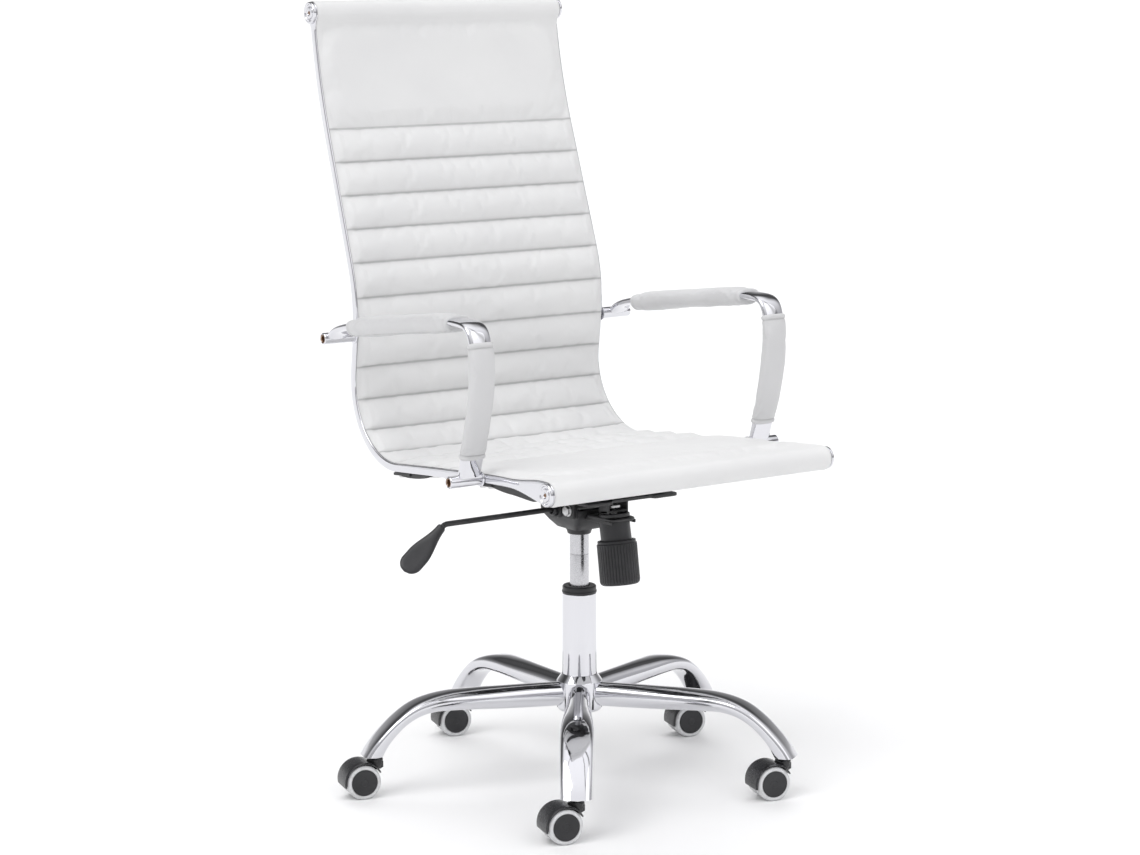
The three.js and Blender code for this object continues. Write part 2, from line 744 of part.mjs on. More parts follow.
// The sling hangs between the rails and is rolled round both cross tubes.
function upholstery() {
  const half = slingThick / 2;
  const reach = Math.sqrt(rollR ** 2 - half ** 2);
  const deep = (along) => {
    const near = Math.min(along, runLength - along);
    return near < reach ? Math.max(half, Math.sqrt(rollR ** 2 - near ** 2)) : half;
  };
  const parts = [0.3, 0.6, 0.85, 1].map((f) => f * reach);
  const shape = band(deep, [...parts, ...parts.map((d) => runLength - d)]);
  holeAt(shape, run[0], crossTubeR + gap);
  holeAt(shape, topTube, crossTubeR + gap);
  const slab = sideSlab(shape, -1, 1);
  const position = slab.attributes.position;
  for (let i = 0; i < position.count; i += 1) {
    const half = halfOver(position.getY(i)) - railWide - 2 * gap;
    position.setX(i, Math.sign(position.getX(i)) * half);
  }
  return slab;
}

function crossTube(name, place) {
  const half = halfOver(place.y) - gap - crossTubeR * Math.abs(flare);
  return mesh(name, alongX(ring(crossTubeR - crossTubeWall, crossTubeR, -half, half, 20)), 'chrome',
    [0, place.y, place.z]);
}

function capGeometry(side) {
  const stubR = crossTubeR - crossTubeWall - gap - 0.2;
  const cap = alongX(turned([
    [0, -capStub], [stubR, -capStub], [stubR, gap], [capR, gap], [capR, capThick - 1], [capR - 2, capThick],
    [0, capThick],
  ], 16));
  return side > 0 ? cap : cap.rotateZ(Math.PI);
}

// A bent flat bar across the chair, from under one rail to under the other, on top of the seat plate.
function support(name, y) {
  const place = at(alongWhere((p) => p.y >= y));
  const slope = place.heading;
  const railUnder = place.z - railDeep / 2 / Math.cos(slope) - gap;
  const low = plateBottom + plateThick + gap + Math.abs(Math.tan(slope)) * supportWide / 2;
  const out = Math.min(halfOver(y - supportWide / 2), halfOver(y + supportWide / 2)) - gap;
  const rise = railUnder - supportThick - low;
  const top = [
    [-out, rise], [-out + supportFoot, rise], [-supportFlat, 0], [supportFlat, 0],
    [out - supportFoot, rise], [out, rise],
  ];
  const shape = new THREE.Shape([
    ...top.map(([x, z]) => vec2(x, z)),
    ...top.slice().reverse().map(([x, z]) => vec2(x, z + supportThick)),
  ]);
  const bar = new THREE.ExtrudeGeometry(shape, { depth: supportWide, bevelEnabled: false })
    .rotateX(Math.PI / 2).translate(0, supportWide / 2, 0);
  return mesh(name, bar, 'blackSteel', [0, place.y, low], [slope, 0, 0]);
}

const rearBoss = at(alongWhere((p) => p.z >= armRearZ));
const frontBoss = at(alongWhere((p) => p.y >= armFrontY));

// The arm's middle line in the side plane: up from the rear boss, forward under the pad, and down.
function armCurve() {
  const topZ = rearBoss.z + armRise;
  const frontY = frontBoss.y - armLean;
  const points = [
    [rearBoss.y, rearBoss.z], [rearBoss.y - 20, rearBoss.z + 13], [rearBoss.y - 52, topZ - armFall],
    [rearBoss.y - 180, topZ - armFall / 2], [frontY + armFrontBend + 12, topZ - 2],
    [frontY + armFrontBend * 0.4, topZ - armFrontBend * 0.25], [frontY, topZ - armFrontBend],
    [frontY - 1, topZ - armFrontBend - 50], [frontY + armLean * 0.45, frontBoss.z + 62],
    [frontBoss.y, frontBoss.z],
  ];
  return new THREE.CatmullRomCurve3(
    points.map(([y, z]) => new THREE.Vector3(0, y, z)), false, 'centripetal');
}

// The part of a curve between two of its lengthwise shares.
class Stretch extends THREE.Curve {
  constructor(whole, from, to) {
    super();
    Object.assign(this, { whole, from, to });
  }

  getPoint(t, target = new THREE.Vector3()) {
    return this.whole.getPointAt(THREE.MathUtils.lerp(this.from, this.to, t), target);
  }
}

const armLine = armCurve();
const armSteps = 36;             // the arm's stations, which its leather wraps start and end on
const padStations = [4, 20];
const sleeveStations = [24, 34];

// Sets a sweep of the arm's line out from the rail: it stands further out at the rear than at the front.
function splayed(geometry, side) {
  const slope = side * armSplay / (rearBoss.y - frontBoss.y);
  return geometry.applyMatrix4(new THREE.Matrix4().set(
    1, slope, 0, side * armOffset - slope * frontBoss.y,
    0, 1, 0, 0,
    0, 0, 1, 0,
    0, 0, 0, 1));
}

function arm(side) {
  const name = side > 0 ? 'left' : 'right';
  const loop = splayed(sweep(ovalShape(armWide, armThick, 10), armLine, armSteps), side);
  const from = side > 0 ? gap : -bossLong;
  const to = side > 0 ? bossLong : -gap;
  const span = (r, a, b, p, sides) => alongX(rod(r, a, b, sides)).translate(0, p.y, p.z);
  const recess = (p) => (side > 0
    ? span(bossBoreR, bossFloor, bossLong + 1, p, 10)
    : span(bossBoreR, -bossLong - 1, -bossFloor, p, 10));
  const bosses = [rearBoss, frontBoss];
  const body = combine({
    join: [loop, ...bosses.map((p) => span(bossR, from, to, p, 14))],
    cut: [...bosses.map(recess), ...bosses.map((p) => span(armBoltR, -bossLong, bossLong, p, 8))],
  });
  const wrap = ([first, last]) => splayed(sweep(
    ovalShape(armWide + 2 * (gap + padWall), armThick + 2 * (gap + padWall), 10,
      [armWide + 2 * gap, armThick + 2 * gap]),
    new Stretch(armLine, first / armSteps, last / armSteps), last - first), side);
  return [
    mesh(`${name}_arm`, body, 'chrome'),
    mesh(`${name}_arm_pad`, wrap(padStations), 'leather'),
    mesh(`${name}_arm_sleeve`, wrap(sleeveStations), 'leather'),
  ];
}

// A side frame is drawn flat and then sheared to the flare, so its holes stay in line with the cross tubes.
function sideFrame(side) {
  const name = side > 0 ? 'left' : 'right';
  const frame = new THREE.Group();
  frame.add(mesh(`${name}_rail`, railGeometry(side), 'chrome'));
  frame.add(mesh(`${name}_top_cap`, capGeometry(side).translate(0, topTube.y, topTube.z), 'chrome'));
  frame.add(mesh(`${name}_front_cap`, capGeometry(side).translate(0, run[0].y, run[0].z), 'chrome'));
  frame.add(...arm(side));
  const shear = new THREE.Matrix4().set(
    1, -side * flare, 0, side * halfOver(0),
    0, 1, 0, 0,
    0, 0, 1, 0,
    0, 0, 0, 1);
  for (const piece of frame.children) piece.geometry.applyMatrix4(shear);
  return frame;
}

// ---------------------------------------------------------------- the chair

const chair = new THREE.Group();
chair.position.set(columnX, columnY, 0);
chair.add(mesh('base_star', baseStar(), 'chrome'));
chair.add(...columnPieces());
chair.add(mesh('piston_rod', pistonRod(), 'steel'));
chair.add(...mechanismPieces());
chair.add(...leverPieces());
chair.add(support('front_support', frontSupportY), support('rear_support', rearSupportY));
chair.add(crossTube('top_tube', topTube), crossTube('front_tube', run[0]));
chair.add(mesh('upholstery', upholstery(), 'leather'));
chair.add(sideFrame(-1), sideFrame(1));
chair.add(...casters());

const model = new THREE.Group();
model.add(chair);

export default model;
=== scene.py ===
"""Office swivel chair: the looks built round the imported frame.

Shapes are worked out in millimetres, with the gas column's axis as the origin (x across, y back, z up),
and TO_FRAME puts them into the frame in metres. "Right" is the sitter's right, on the -x side.
"""

import json
import math

import bmesh
import bpy
import numpy as np
from mathutils import Matrix, Vector, noise


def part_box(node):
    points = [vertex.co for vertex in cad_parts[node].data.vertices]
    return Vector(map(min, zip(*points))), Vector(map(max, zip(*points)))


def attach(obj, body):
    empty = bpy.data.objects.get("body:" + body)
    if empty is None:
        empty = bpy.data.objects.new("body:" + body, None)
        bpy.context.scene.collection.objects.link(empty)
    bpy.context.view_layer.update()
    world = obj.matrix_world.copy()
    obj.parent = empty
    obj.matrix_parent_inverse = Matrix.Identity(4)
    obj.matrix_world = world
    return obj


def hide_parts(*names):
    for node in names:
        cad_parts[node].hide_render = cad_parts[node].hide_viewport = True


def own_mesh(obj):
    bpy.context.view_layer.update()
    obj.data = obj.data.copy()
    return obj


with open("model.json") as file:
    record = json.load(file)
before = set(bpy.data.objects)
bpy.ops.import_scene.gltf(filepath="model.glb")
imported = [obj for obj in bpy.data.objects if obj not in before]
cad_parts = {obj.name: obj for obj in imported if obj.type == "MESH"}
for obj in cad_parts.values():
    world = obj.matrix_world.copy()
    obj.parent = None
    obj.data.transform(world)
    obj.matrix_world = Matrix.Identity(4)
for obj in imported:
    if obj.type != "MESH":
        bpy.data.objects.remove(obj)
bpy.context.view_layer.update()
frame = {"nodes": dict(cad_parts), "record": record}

MM = 0.001


def span(node):
    """A node's lowest and highest corner in millimetres, measured from the column's axis."""
    low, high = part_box(node)
    return (low - COLUMN) / MM, (high - COLUMN) / MM


tube_low, tube_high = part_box("column_tube")
COLUMN = (tube_low + tube_high) / 2
COLUMN.z = 0
TO_FRAME = Matrix.Translation(COLUMN) @ Matrix.Scale(MM, 4)

# ---------------------------------------------------------------- sizes shared by several pieces

TOP_WIDTH = 438  # over the rails at the top tube
FRONT_WIDTH = 485  # over the rails at the front tube
RAIL_WIDE = 6
RAIL_DEEP = 12
RAIL_EYE = 16
RAIL_FLARE = 95
FRONT_TUBE = (-259, 487.6)
START_HEADING = 3
RUN = [(150, -7), (243, -1.5), (202, 102.5), (45, 0), (114, -25.5), (195, 0), (180, 12)]
RUN_LENGTH = sum(long for long, _ in RUN)
SLING_HALF = 6
ROLL_R = 17
SEAM_PITCH = 50.4
SEAMS = [248.9 + SEAM_PITCH * k for k in range(15)]

ARM_OFFSET = 21  # from a rail's outer face at the front boss
ARM_SPLAY = 11  # how much further out the arm stands at the rear boss
ARM_WIDE = 36
ARM_THICK = 14
ARM_STEPS = 36
PAD_STATIONS = (4, 20)
SLEEVE_STATIONS = (24, 34)
PAD_DROP = 6.5  # how much fuller the pads are underneath
BOSS_LONG = 54
WRAP_ROOM = 0.3

PADDLE_TWIST = 45  # degrees its outer face is turned towards the front

KNOB_LEAN = 8.4
KNOB_FOOT = (0, -99, 307)

# ---------------------------------------------------------------- shape helpers


def smooth(a, b, x):
    t = np.clip((np.asarray(x, float) - a) / (b - a), 0, 1)
    return t * t * (3 - 2 * t)


def skin(rings, around=True, along=False, caps=True):
    """Vertices and faces over rings of points: closed around each ring, and along them if asked."""
    rings = np.asarray(rings, float)
    count, size = rings.shape[:2]
    faces = []
    for k in range(count if along else count - 1):
        for i in range(size if around else size - 1):
            a, b = k * size + i, k * size + (i + 1) % size
            c, d = (k + 1) % count * size + (i + 1) % size, (k + 1) % count * size + i
            faces.append((a, b, c, d))
    if caps and not along:
        faces.append(tuple(reversed(range(size))))
        faces.append(tuple(range((count - 1) * size, count * size)))
    return rings.reshape(-1, 3), faces


def fillet(points, radius, steps=4):
    """Rounds each corner of a closed outline; radius is one number or one for each point."""
    points = [np.asarray(p, float) for p in points]
    radii = radius if isinstance(radius, (list, tuple)) else [radius] * len(points)
    made = []
    for i, here in enumerate(points):
        before, after = points[i - 1] - here, points[(i + 1) % len(points)] - here
        long_a, long_b = np.linalg.norm(before), np.linalg.norm(after)
        if radii[i] == 0 or min(long_a, long_b) < 1e-6:
            made.append(here)
            continue
        before, after = before / long_a, after / long_b
        half = math.acos(max(-1, min(1, float(before @ after)))) / 2
        if half > math.radians(88):
            made.append(here)
            continue
        reach = min(radii[i] / math.tan(half), 0.48 * long_a, 0.48 * long_b)
        start, end = here + before * reach, here + after * reach
        for k in range(steps + 1):
            t = k / steps
            made.append((1 - t) ** 2 * start + 2 * t * (1 - t) * here + t * t * end)
    return made


def lathe(outline, sides=64, radius=0.6, steps=3, turn=(0, 360), ripple=None):
    """An outline of (r, z), turned about z. A part turn gets end faces. ripple(angle, r, z) changes r."""
    points = fillet(outline, radius, steps)
    whole = turn[1] - turn[0] == 360
    angles = np.radians(np.linspace(turn[0], turn[1], sides, endpoint=not whole))
    rings = []
    for a in angles:
        ring = []
        for r, z in points:
            r = max(r, 0)
            grown = r + ripple(a, r, z) if ripple else r
            ring.append((grown * math.cos(a), grown * math.sin(a), z))
        rings.append(ring)
    return skin(rings, along=whole, caps=not whole)


def join(*parts):
    points, faces = [], []
    for verts, part_faces in parts:
        base = len(points)
        points.extend(map(tuple, verts))
        faces.extend(tuple(base + i for i in f) for f in part_faces)
    return np.array(points, float), faces


def moved(part, matrix):
    verts, faces = part
    m = np.array(matrix, float)
    return np.asarray(verts) @ m[:3, :3].T + m[:3, 3], faces


def shift(part, x=0, y=0, z=0):
    return moved(part, Matrix.Translation((x, y, z)))


def axis_x(part):
    """Turns a piece made along z so that it lies along x."""
    return moved(part, Matrix.Rotation(math.pi / 2, 4, "Y"))


def mirrored(part):
    verts, faces = part
    return np.asarray(verts) * (-1, 1, 1), [tuple(reversed(f)) for f in faces]


def along_knob(part):
    turn = Matrix.Rotation(-math.radians(KNOB_LEAN), 4, "X")
    return moved(part, Matrix.Translation(KNOB_FOOT) @ turn)


def plate(outline, thick, bevel=0.8, radius=4, steps=4):
    """A flat plate in x and y with filleted corners and bevelled edges, from z 0 up to its thickness."""
    points = np.array(fillet(outline, radius, steps))
    centre = points.mean(0)
    inner = centre + (points - centre) * (1 - bevel / np.abs(points - centre).max(0))
    levels = [(inner, 0), (points, bevel), (points, thick - bevel), (inner, thick)]
    return skin([[(x, y, z) for x, y in ring] for ring, z in levels])


def superoval(wide, tall, sides, power=2.3):
    angles = np.linspace(0, 2 * math.pi, sides, endpoint=False)
    c, s = np.cos(angles), np.sin(angles)
    return np.stack(
        [
            wide / 2 * np.sign(c) * np.abs(c) ** (2 / power),
            tall / 2 * np.sign(s) * np.abs(s) ** (2 / power),
        ],
        1,
    )


def catmull(points, count):
    """Points evenly spread along a centripetal Catmull-Rom curve."""
    p = np.asarray(points, float)
    p = np.vstack([2 * p[0] - p[1], p, 2 * p[-1] - p[-2]])
    fine = []
    for i in range(1, len(p) - 2):
        knots = [0.0]
        for k in range(3):
            knots.append(knots[-1] + np.linalg.norm(p[i + k] - p[i + k - 1]) ** 0.5)
        t0, t1, t2, t3 = knots
        for t in np.linspace(t1, t2, 40, endpoint=i == len(p) - 3):
            a1 = (t1 - t) / (t1 - t0) * p[i - 1] + (t - t0) / (t1 - t0) * p[i]
            a2 = (t2 - t) / (t2 - t1) * p[i] + (t - t1) / (t2 - t1) * p[i + 1]
            a3 = (t3 - t) / (t3 - t2) * p[i + 1] + (t - t2) / (t3 - t2) * p[i + 2]
            b1 = (t2 - t) / (t2 - t0) * a1 + (t - t0) / (t2 - t0) * a2
            b2 = (t3 - t) / (t3 - t1) * a2 + (t - t1) / (t3 - t1) * a3
            fine.append((t2 - t) / (t2 - t1) * b1 + (t - t1) / (t2 - t1) * b2)
    fine = np.array(fine)
    along = np.concatenate([[0], np.cumsum(np.linalg.norm(np.diff(fine, axis=0), axis=1))])
    want = np.linspace(0, along[-1], count)
    return np.stack([np.interp(want, along, fine[:, k]) for k in range(fine.shape[1])], 1)


def bare(name, part, look):
    """A Blender object from a part in millimetres, cleaned, with its look but not yet riding on a body."""
    verts, faces = part
    mesh = bpy.data.meshes.new(name)
    mesh.from_pydata([tuple(v) for v in verts], [], faces)
    mesh.transform(TO_FRAME)
    clean = bmesh.new()
    clean.from_mesh(mesh)
    bmesh.ops.remove_doubles(clean, verts=clean.verts, dist=2e-6)
    bmesh.ops.dissolve_degenerate(clean, edges=clean.edges, dist=2e-6)
    bmesh.ops.recalc_face_normals(clean, faces=clean.faces)
    clean.to_mesh(mesh)
    clean.free()
    obj = bpy.data.objects.new(name, mesh)
    bpy.context.scene.collection.objects.link(obj)
    obj.data.materials.append(look)
    return obj


def make(name, part, look, body, replaces=(), sharp=35):
    return finish_piece(bare(name, part, look), body, replaces, sharp)


def finish_piece(obj, body, replaces=(), sharp=35, levels=0):
    if levels:
        obj.modifiers.new("fine", "SUBSURF").levels = levels
        obj.modifiers["fine"].render_levels = levels
    obj.data.shade_smooth()
    obj.data.set_sharp_from_angle(angle=math.radians(sharp))
    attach(obj, body)
    if replaces:
        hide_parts(*replaces)
    return obj


def apply_modifiers(obj):
    shown = obj.evaluated_get(bpy.context.evaluated_depsgraph_get())
    mesh = bpy.data.meshes.new_from_object(shown)
    old, name = obj.data, obj.data.name
    obj.modifiers.clear()
    obj.data = mesh
    bpy.data.meshes.remove(old)
    mesh.name = name


def combine(obj, others, operation):
    """Joins others to obj, or cuts them out of it, and removes them."""
    for other in others:
        change = obj.modifiers.new("boolean", "BOOLEAN")
        change.operation = operation
        change.solver = "EXACT"
        change.object = other
        apply_modifiers(obj)
        bpy.data.objects.remove(other)


# ---------------------------------------------------------------- materials


class Look:
    """A small node graph round one Principled shader."""

    def __init__(self, name, **inputs):
        self.material = bpy.data.materials.new(name)
        self.material.use_nodes = True
        self.tree = self.material.node_tree
        self.shader = self.tree.nodes["Principled BSDF"]
        for key, value in inputs.items():
            self.shader.inputs[key.replace("_", " ")].default_value = value
        self.place = self.node("ShaderNodeTexCoord").outputs["Object"]

    def node(self, kind, **settings):
        made = self.tree.nodes.new(kind)
        for key, value in settings.items():
            if key in made.inputs:
                made.inputs[key].default_value = value
            else:
                setattr(made, key, value)
        return made

    def link(self, output, target):
        self.tree.links.new(output, target)

    def noise(self, scale, detail=3, rough=0.5):
        made = self.node("ShaderNodeTexNoise", Scale=scale, Detail=detail, Roughness=rough)
        self.link(self.place, made.inputs["Vector"])
        return made.outputs["Fac"]

    def cells(self, scale):
        made = self.node("ShaderNodeTexVoronoi", feature="F1", Scale=scale)
        self.link(self.place, made.inputs["Vector"])
        return made.outputs["Distance"]

    def ramp(self, source, stops):
        made = self.node("ShaderNodeValToRGB")
        ramp = made.color_ramp
        while len(ramp.elements) < len(stops):
            ramp.elements.new(1)
        for element, (at, colour) in zip(ramp.elements, stops):
            element.position = at
            element.color = (*colour, 1) if len(colour) == 3 else colour
        self.link(source, made.inputs["Fac"])
        return made.outputs["Color"]

    def remap(self, source, low, high):
        made = self.node("ShaderNodeMapRange")
        made.inputs["From Min"].default_value = 0.3
        made.inputs["From Max"].default_value = 0.7
        made.inputs["To Min"].default_value = low
        made.inputs["To Max"].default_value = high
        self.link(source, made.inputs["Value"])
        return made.outputs["Result"]

    def bump(self, source, height, after=None):
        made = self.node("ShaderNodeBump", Strength=1.0, Distance=height)
        self.link(source, made.inputs["Height"])
        if after:
            self.link(after, made.inputs["Normal"])
        return made.outputs["Normal"]

    def set(self, socket, source):
        self.link(source, self.shader.inputs[socket])

    def mix(self, factor, a, b):
        made = self.node("ShaderNodeMix", data_type="RGBA", blend_type="MIX")
        self.link(factor, made.inputs["Factor"])
        self.link(a, made.inputs[6])
        self.link(b, made.inputs[7])
        return made.outputs[2]


def leather_look(name, light, dark, crease_shade):
    look = Look(name, IOR=1.46)
    look.shader.inputs["Specular IOR Level"].default_value = 0.42
    tone = look.ramp(look.noise(9, 4), [(0.3, dark), (0.7, light)])
    # painted shade: by the weights stored on the mesh, a darker grey is mixed into the leather in the seam
    # valleys, the hem grooves and along the turned edges, where shade falls
    crease_shade_mask = look.node("ShaderNodeAttribute", attribute_name="crease_shade").outputs["Fac"]
    shade = look.ramp(look.noise(60, 2), [(0.3, crease_shade), (0.7, tuple(c * 1.04 for c in crease_shade))])
    look.set("Base Color", look.mix(crease_shade_mask, tone, shade))
    look.set("Roughness", look.remap(look.noise(35, 4), 0.40, 0.52))
    pebble = look.bump(look.cells(900), 0.00010)
    fine = look.bump(look.noise(2600, 2), 0.00005, pebble)
    soft = look.bump(look.noise(22, 3), 0.0012, fine)
    look.set("Normal", soft)
    return look.material


def chrome_look():
    look = Look("chrome", Metallic=1.0)
    look.shader.inputs["Base Color"].default_value = (0.70, 0.70, 0.73, 1)
    look.set("Roughness", look.remap(look.noise(40, 4), 0.035, 0.085))
    look.set("Normal", look.bump(look.noise(55, 2), 0.00012))
    return look.material


def steel_look(name, colour, low, high):
    look = Look(name, Metallic=1.0)
    look.shader.inputs["Base Color"].default_value = (*colour, 1)
    grain = look.noise(300, 3)
    look.set("Roughness", look.remap(grain, low, high))
    look.set("Normal", look.bump(grain, 0.000006))
    return look.material


def black_look(name, colour, low, high, grain_scale, grain, specular=0.5):
    look = Look(name)
    look.shader.inputs["Specular IOR Level"].default_value = specular
    lighter = tuple(c * 1.5 + 0.004 for c in colour)
    look.set("Base Color", look.ramp(look.noise(28, 4), [(0.35, colour), (0.75, lighter)]))
    look.set("Roughness", look.remap(look.noise(45, 3), low, high))
    coarse = look.bump(look.noise(grain_scale, 2), grain)
    look.set("Normal", look.bump(look.cells(grain_scale * 0.8), grain * 0.5, coarse))
    return look.material


def tyre_look():
    look = Look("tyre")
    light, scuffed = (0.66, 0.665, 0.675), (0.56, 0.56, 0.565)
    look.set("Base Color", look.ramp(look.noise(90, 5, rough=0.65), [(0.36, scuffed), (0.52, light)]))
    look.set("Roughness", look.remap(look.noise(120, 3), 0.38, 0.55))
    look.set("Normal", look.bump(look.noise(900, 3), 0.00006))
    return look.material


def thread_look():
    look = Look("thread")
    worn, clean = (0.66, 0.66, 0.65), (0.78, 0.78, 0.77)
    look.set("Base Color", look.ramp(look.noise(800, 2), [(0.3, worn), (0.7, clean)]))
    look.set("Roughness", look.remap(look.noise(500, 2), 0.55, 0.7))
    twist = look.node("ShaderNodeTexWave", Scale=900.0, Distortion=1.0)
    look.link(look.place, twist.inputs["Vector"])
    look.set("Normal", look.bump(twist.outputs["Fac"], 0.0001))
    return look.material


# the third colour of each leather is its painted shade, used in the valleys and along the turned edges
LEATHER = leather_look("leather", (0.755, 0.755, 0.752), (0.725, 0.725, 0.725), (0.42, 0.42, 0.42))
ARM_LEATHER = leather_look("arm_leather", (0.64, 0.64, 0.645), (0.60, 0.60, 0.605), (0.42, 0.42, 0.42))
CHROME = chrome_look()
PISTON = steel_look("piston_steel", (0.56, 0.56, 0.58), 0.22, 0.32)
ZINC = steel_look("zinc_steel", (0.62, 0.62, 0.62), 0.25, 0.42)
BRONZE = steel_look("bolt_bronze", (0.30, 0.20, 0.14), 0.28, 0.45)
PLASTIC = black_look("black_plastic", (0.015, 0.015, 0.017), 0.32, 0.46, 1100, 0.00006)
GLOSS = black_look("hood_plastic", (0.016, 0.016, 0.018), 0.20, 0.32, 500, 0.00003)
COAT = black_look("black_steel", (0.020, 0.020, 0.021), 0.38, 0.52, 600, 0.00009)
TYRE = tyre_look()
THREAD = thread_look()

# ---------------------------------------------------------------- the side outline


def outline(s):
    """Place and heading, in the side plane, at a distance from the front tube along the rails."""
    y, z = FRONT_TUBE
    heading = math.radians(START_HEADING)
    left = min(max(s, 0), RUN_LENGTH)
    for long, turn in RUN:
        step = min(left, long)
        bend = math.radians(turn) * step / long
        chord = step if bend == 0 else 2 * step / bend * math.sin(bend / 2)
        y += chord * math.cos(heading + bend / 2)
        z += chord * math.sin(heading + bend / 2)
        heading += bend
        left -= step
        if left <= 0:
            break
    return y, z, heading


TOP_TUBE = outline(RUN_LENGTH)
FLARE = (FRONT_WIDTH - TOP_WIDTH) / 2 / (TOP_TUBE[0] - FRONT_TUBE[0])


def half_over(y):
    return TOP_WIDTH / 2 + (TOP_TUBE[0] - y) * FLARE


def rail_half(s):
    """Half a rail's depth: it widens into its front eye gently and into its top eye quickly."""
    front = RAIL_EYE + (RAIL_DEEP / 2 - RAIL_EYE) * float(smooth(0, RAIL_FLARE, s))
    top = RAIL_DEEP / 2 + (RAIL_EYE - RAIL_DEEP / 2) * float(smooth(22, 4, RUN_LENGTH - s))
    return max(front, top)


def beside(part, side):
    """Places a piece made against the outer face of the left rail, for either side, sheared to the flare."""
    verts, faces = mirrored(part) if side < 0 else part
    verts = np.array(verts, float)
    verts[:, 0] += side * (half_over(0) - FLARE * verts[:, 1])
    return verts, faces


SIDES = ((-1, "right"), (1, "left"))


def where(test, step=0.25):
    return next(s for s in np.arange(0, RUN_LENGTH, step) if test(outline(s)))


# ---------------------------------------------------------------- fasteners


def socket_screw(radius, tall, hex_r, depth, sides=36):
    """A round head with a hexagon socket, its bearing face at z 0, and its axis along z."""
    angles = np.linspace(0, 2 * math.pi, sides, endpoint=False)
    circle = np.stack([np.cos(angles), np.sin(angles)], 1)
    inside = np.abs((angles % (math.pi / 3)) - math.pi / 6)
    hexagon = circle * (hex_r * math.cos(math.pi / 6) / np.cos(math.pi / 6 - inside))[:, None]
    rounded = min(radius, tall) * 0.22
    levels = [
        (circle * radius, 0),
        (circle * radius, tall - rounded),
        (circle * (radius - rounded * 0.3), tall - rounded * 0.3),
        (circle * (radius - rounded), tall),
        (hexagon * 1.04, tall),
        (hexagon, tall - 0.2),
        (hexagon, tall - depth),
        (hexagon * 0.3, tall - depth * 1.15),
    ]
    return skin([[(x, y, z) for x, y in ring] for ring, z in levels])


def hex_bolt(across, tall, washer_r):
    """A hexagon head on a washer, bearing face at z 0."""
    angles = np.radians(np.arange(0, 360, 60))
    ring = np.stack([np.cos(angles), np.sin(angles)], 1) * across / math.sqrt(3)
    levels = [(ring, 1.2), (ring, tall + 0.6), (ring * 0.93, tall + 1.2)]
    head = skin([[(x, y, z) for x, y in points] for points, z in levels])
    washer = lathe([(0, 0), (washer_r, 0), (washer_r, 1.2), (0, 1.2)], 32, 0.3, 2)
    return join(washer, head)


# ---------------------------------------------------------------- base, column and casters

LEG_COUNT = 5
HUB_BOTTOM, HUB_TOP = 104, 151
# top line, bottom line and half width of a leg: (out, z), (out, z), half width
LEG_LINES = [
    ((27, 146.0), (27, 111.0), 16.5),
    ((60, 146.5), (60, 111.5), 16.8),
    ((110, 147.0), (110, 113.0), 18.3),
    ((160, 147.2), (158, 115.5), 21.0),
    ((200, 145.5), (196, 117.8), 22.8),
    ((230, 140.0), (222, 118.0), 23.3),
    ((256, 130.0), (243, 113.5), 23.3),
    ((281, 112.5), (262, 103.5), 23.0),
    ((303, 91.5), (278, 89.0), 22.6),
    ((317, 75.0), (289, 75.5), 22.2),
    ((327, 60.0), (298, 60.0), 21.8),
]


def leg_direction(index):
    low, high = span(f"caster_{index + 1}_stem")
    middle = (low + high) / 2
    return math.atan2(middle.y, middle.x)


def base_star():
    lines = catmull([[*top, *bottom, half] for top, bottom, half in LEG_LINES], 56)
    rings = []
    for k, (top_r, top_z, low_r, low_z, half) in enumerate(lines):
        power = 2.15 + 1.1 * smooth(0.35, 0.8, k / (len(lines) - 1))
        middle = np.array([(top_r + low_r) / 2, (top_z + low_z) / 2])
        up = np.array([(top_r - low_r) / 2, (top_z - low_z) / 2])
        section = superoval(2, 2, 40, power)
        rings.append([(middle[0] + b * up[0], a * half, middle[1] + b * up[1]) for a, b in section])
    leg = skin(rings)
    low, high = HUB_BOTTOM, HUB_TOP
    hub = lathe(
        [(24.0, low), (31, low), (33.6, low + 4), (33.6, high - 3.4), (33.0, high - 2.6), (25.9, high + 6.6),
         (24.0, high + 7)], 96, [0, 1.6, 1.6, 0.5, 0.5, 0.5, 0], 4)
    star = bare("base_hub_and_legs", hub, CHROME)
    legs = []
    for i in range(LEG_COUNT):
        turn = Matrix.Rotation(leg_direction(i), 4, "Z")
        legs.append(bare("leg", moved(leg, turn), CHROME))
    combine(star, legs, "UNION")
    bore = lathe([(0, low - 5), (25.3, low - 5), (25.3, high + 12), (0, high + 12)], 96, 0)
    combine(star, [bare("bore", bore, CHROME)], "DIFFERENCE")
    finish_piece(star, "base", ["base_star"], sharp=38)


def column():
    low, high = span("column_tube")
    foot, mouth = low.z, high.z
    floor, lip = foot + 2.5, mouth - 0.2
    tube = lathe([(4.6, foot), (25, foot), (25, lip), (23.6, lip), (23.6, floor), (4.6, floor)], 96, 0.7)
    make("column_outer_tube", tube, CHROME, "base", ["column_tube"])
    bush = lathe(
        [(14.5, -40), (23.2, -40), (23.2, 0.4), (25.2, 0.4), (25.6, 3), (24.6, 3.8), (24.6, 9.4), (23.4, 11),
         (16.2, 11), (14.5, 8.2)], 96, 0.5)
    make("column_bush", shift(bush, 0, 0, mouth), PLASTIC, "base", ["column_bushing"])
    low, high = span("gas_cylinder")
    groove = [(14, 335.4), (13.6, 335.8), (13.6, 336.6), (14, 337)]
    lift = lathe([(0, low.z), (14, low.z), *groove, (14, high.z), (0, high.z)], 96, 0.25, 2)
    make("lift_cylinder", lift, PISTON, "post", ["gas_cylinder"])
    under, over = foot - 2.4, foot - 1.0
    clip = lathe([(4.2, under), (8.5, under), (8.5, over), (4.2, over)], 32, 0.2, 1, (20, 340))
    make("column_retaining_clip", clip, ZINC, "rotor")


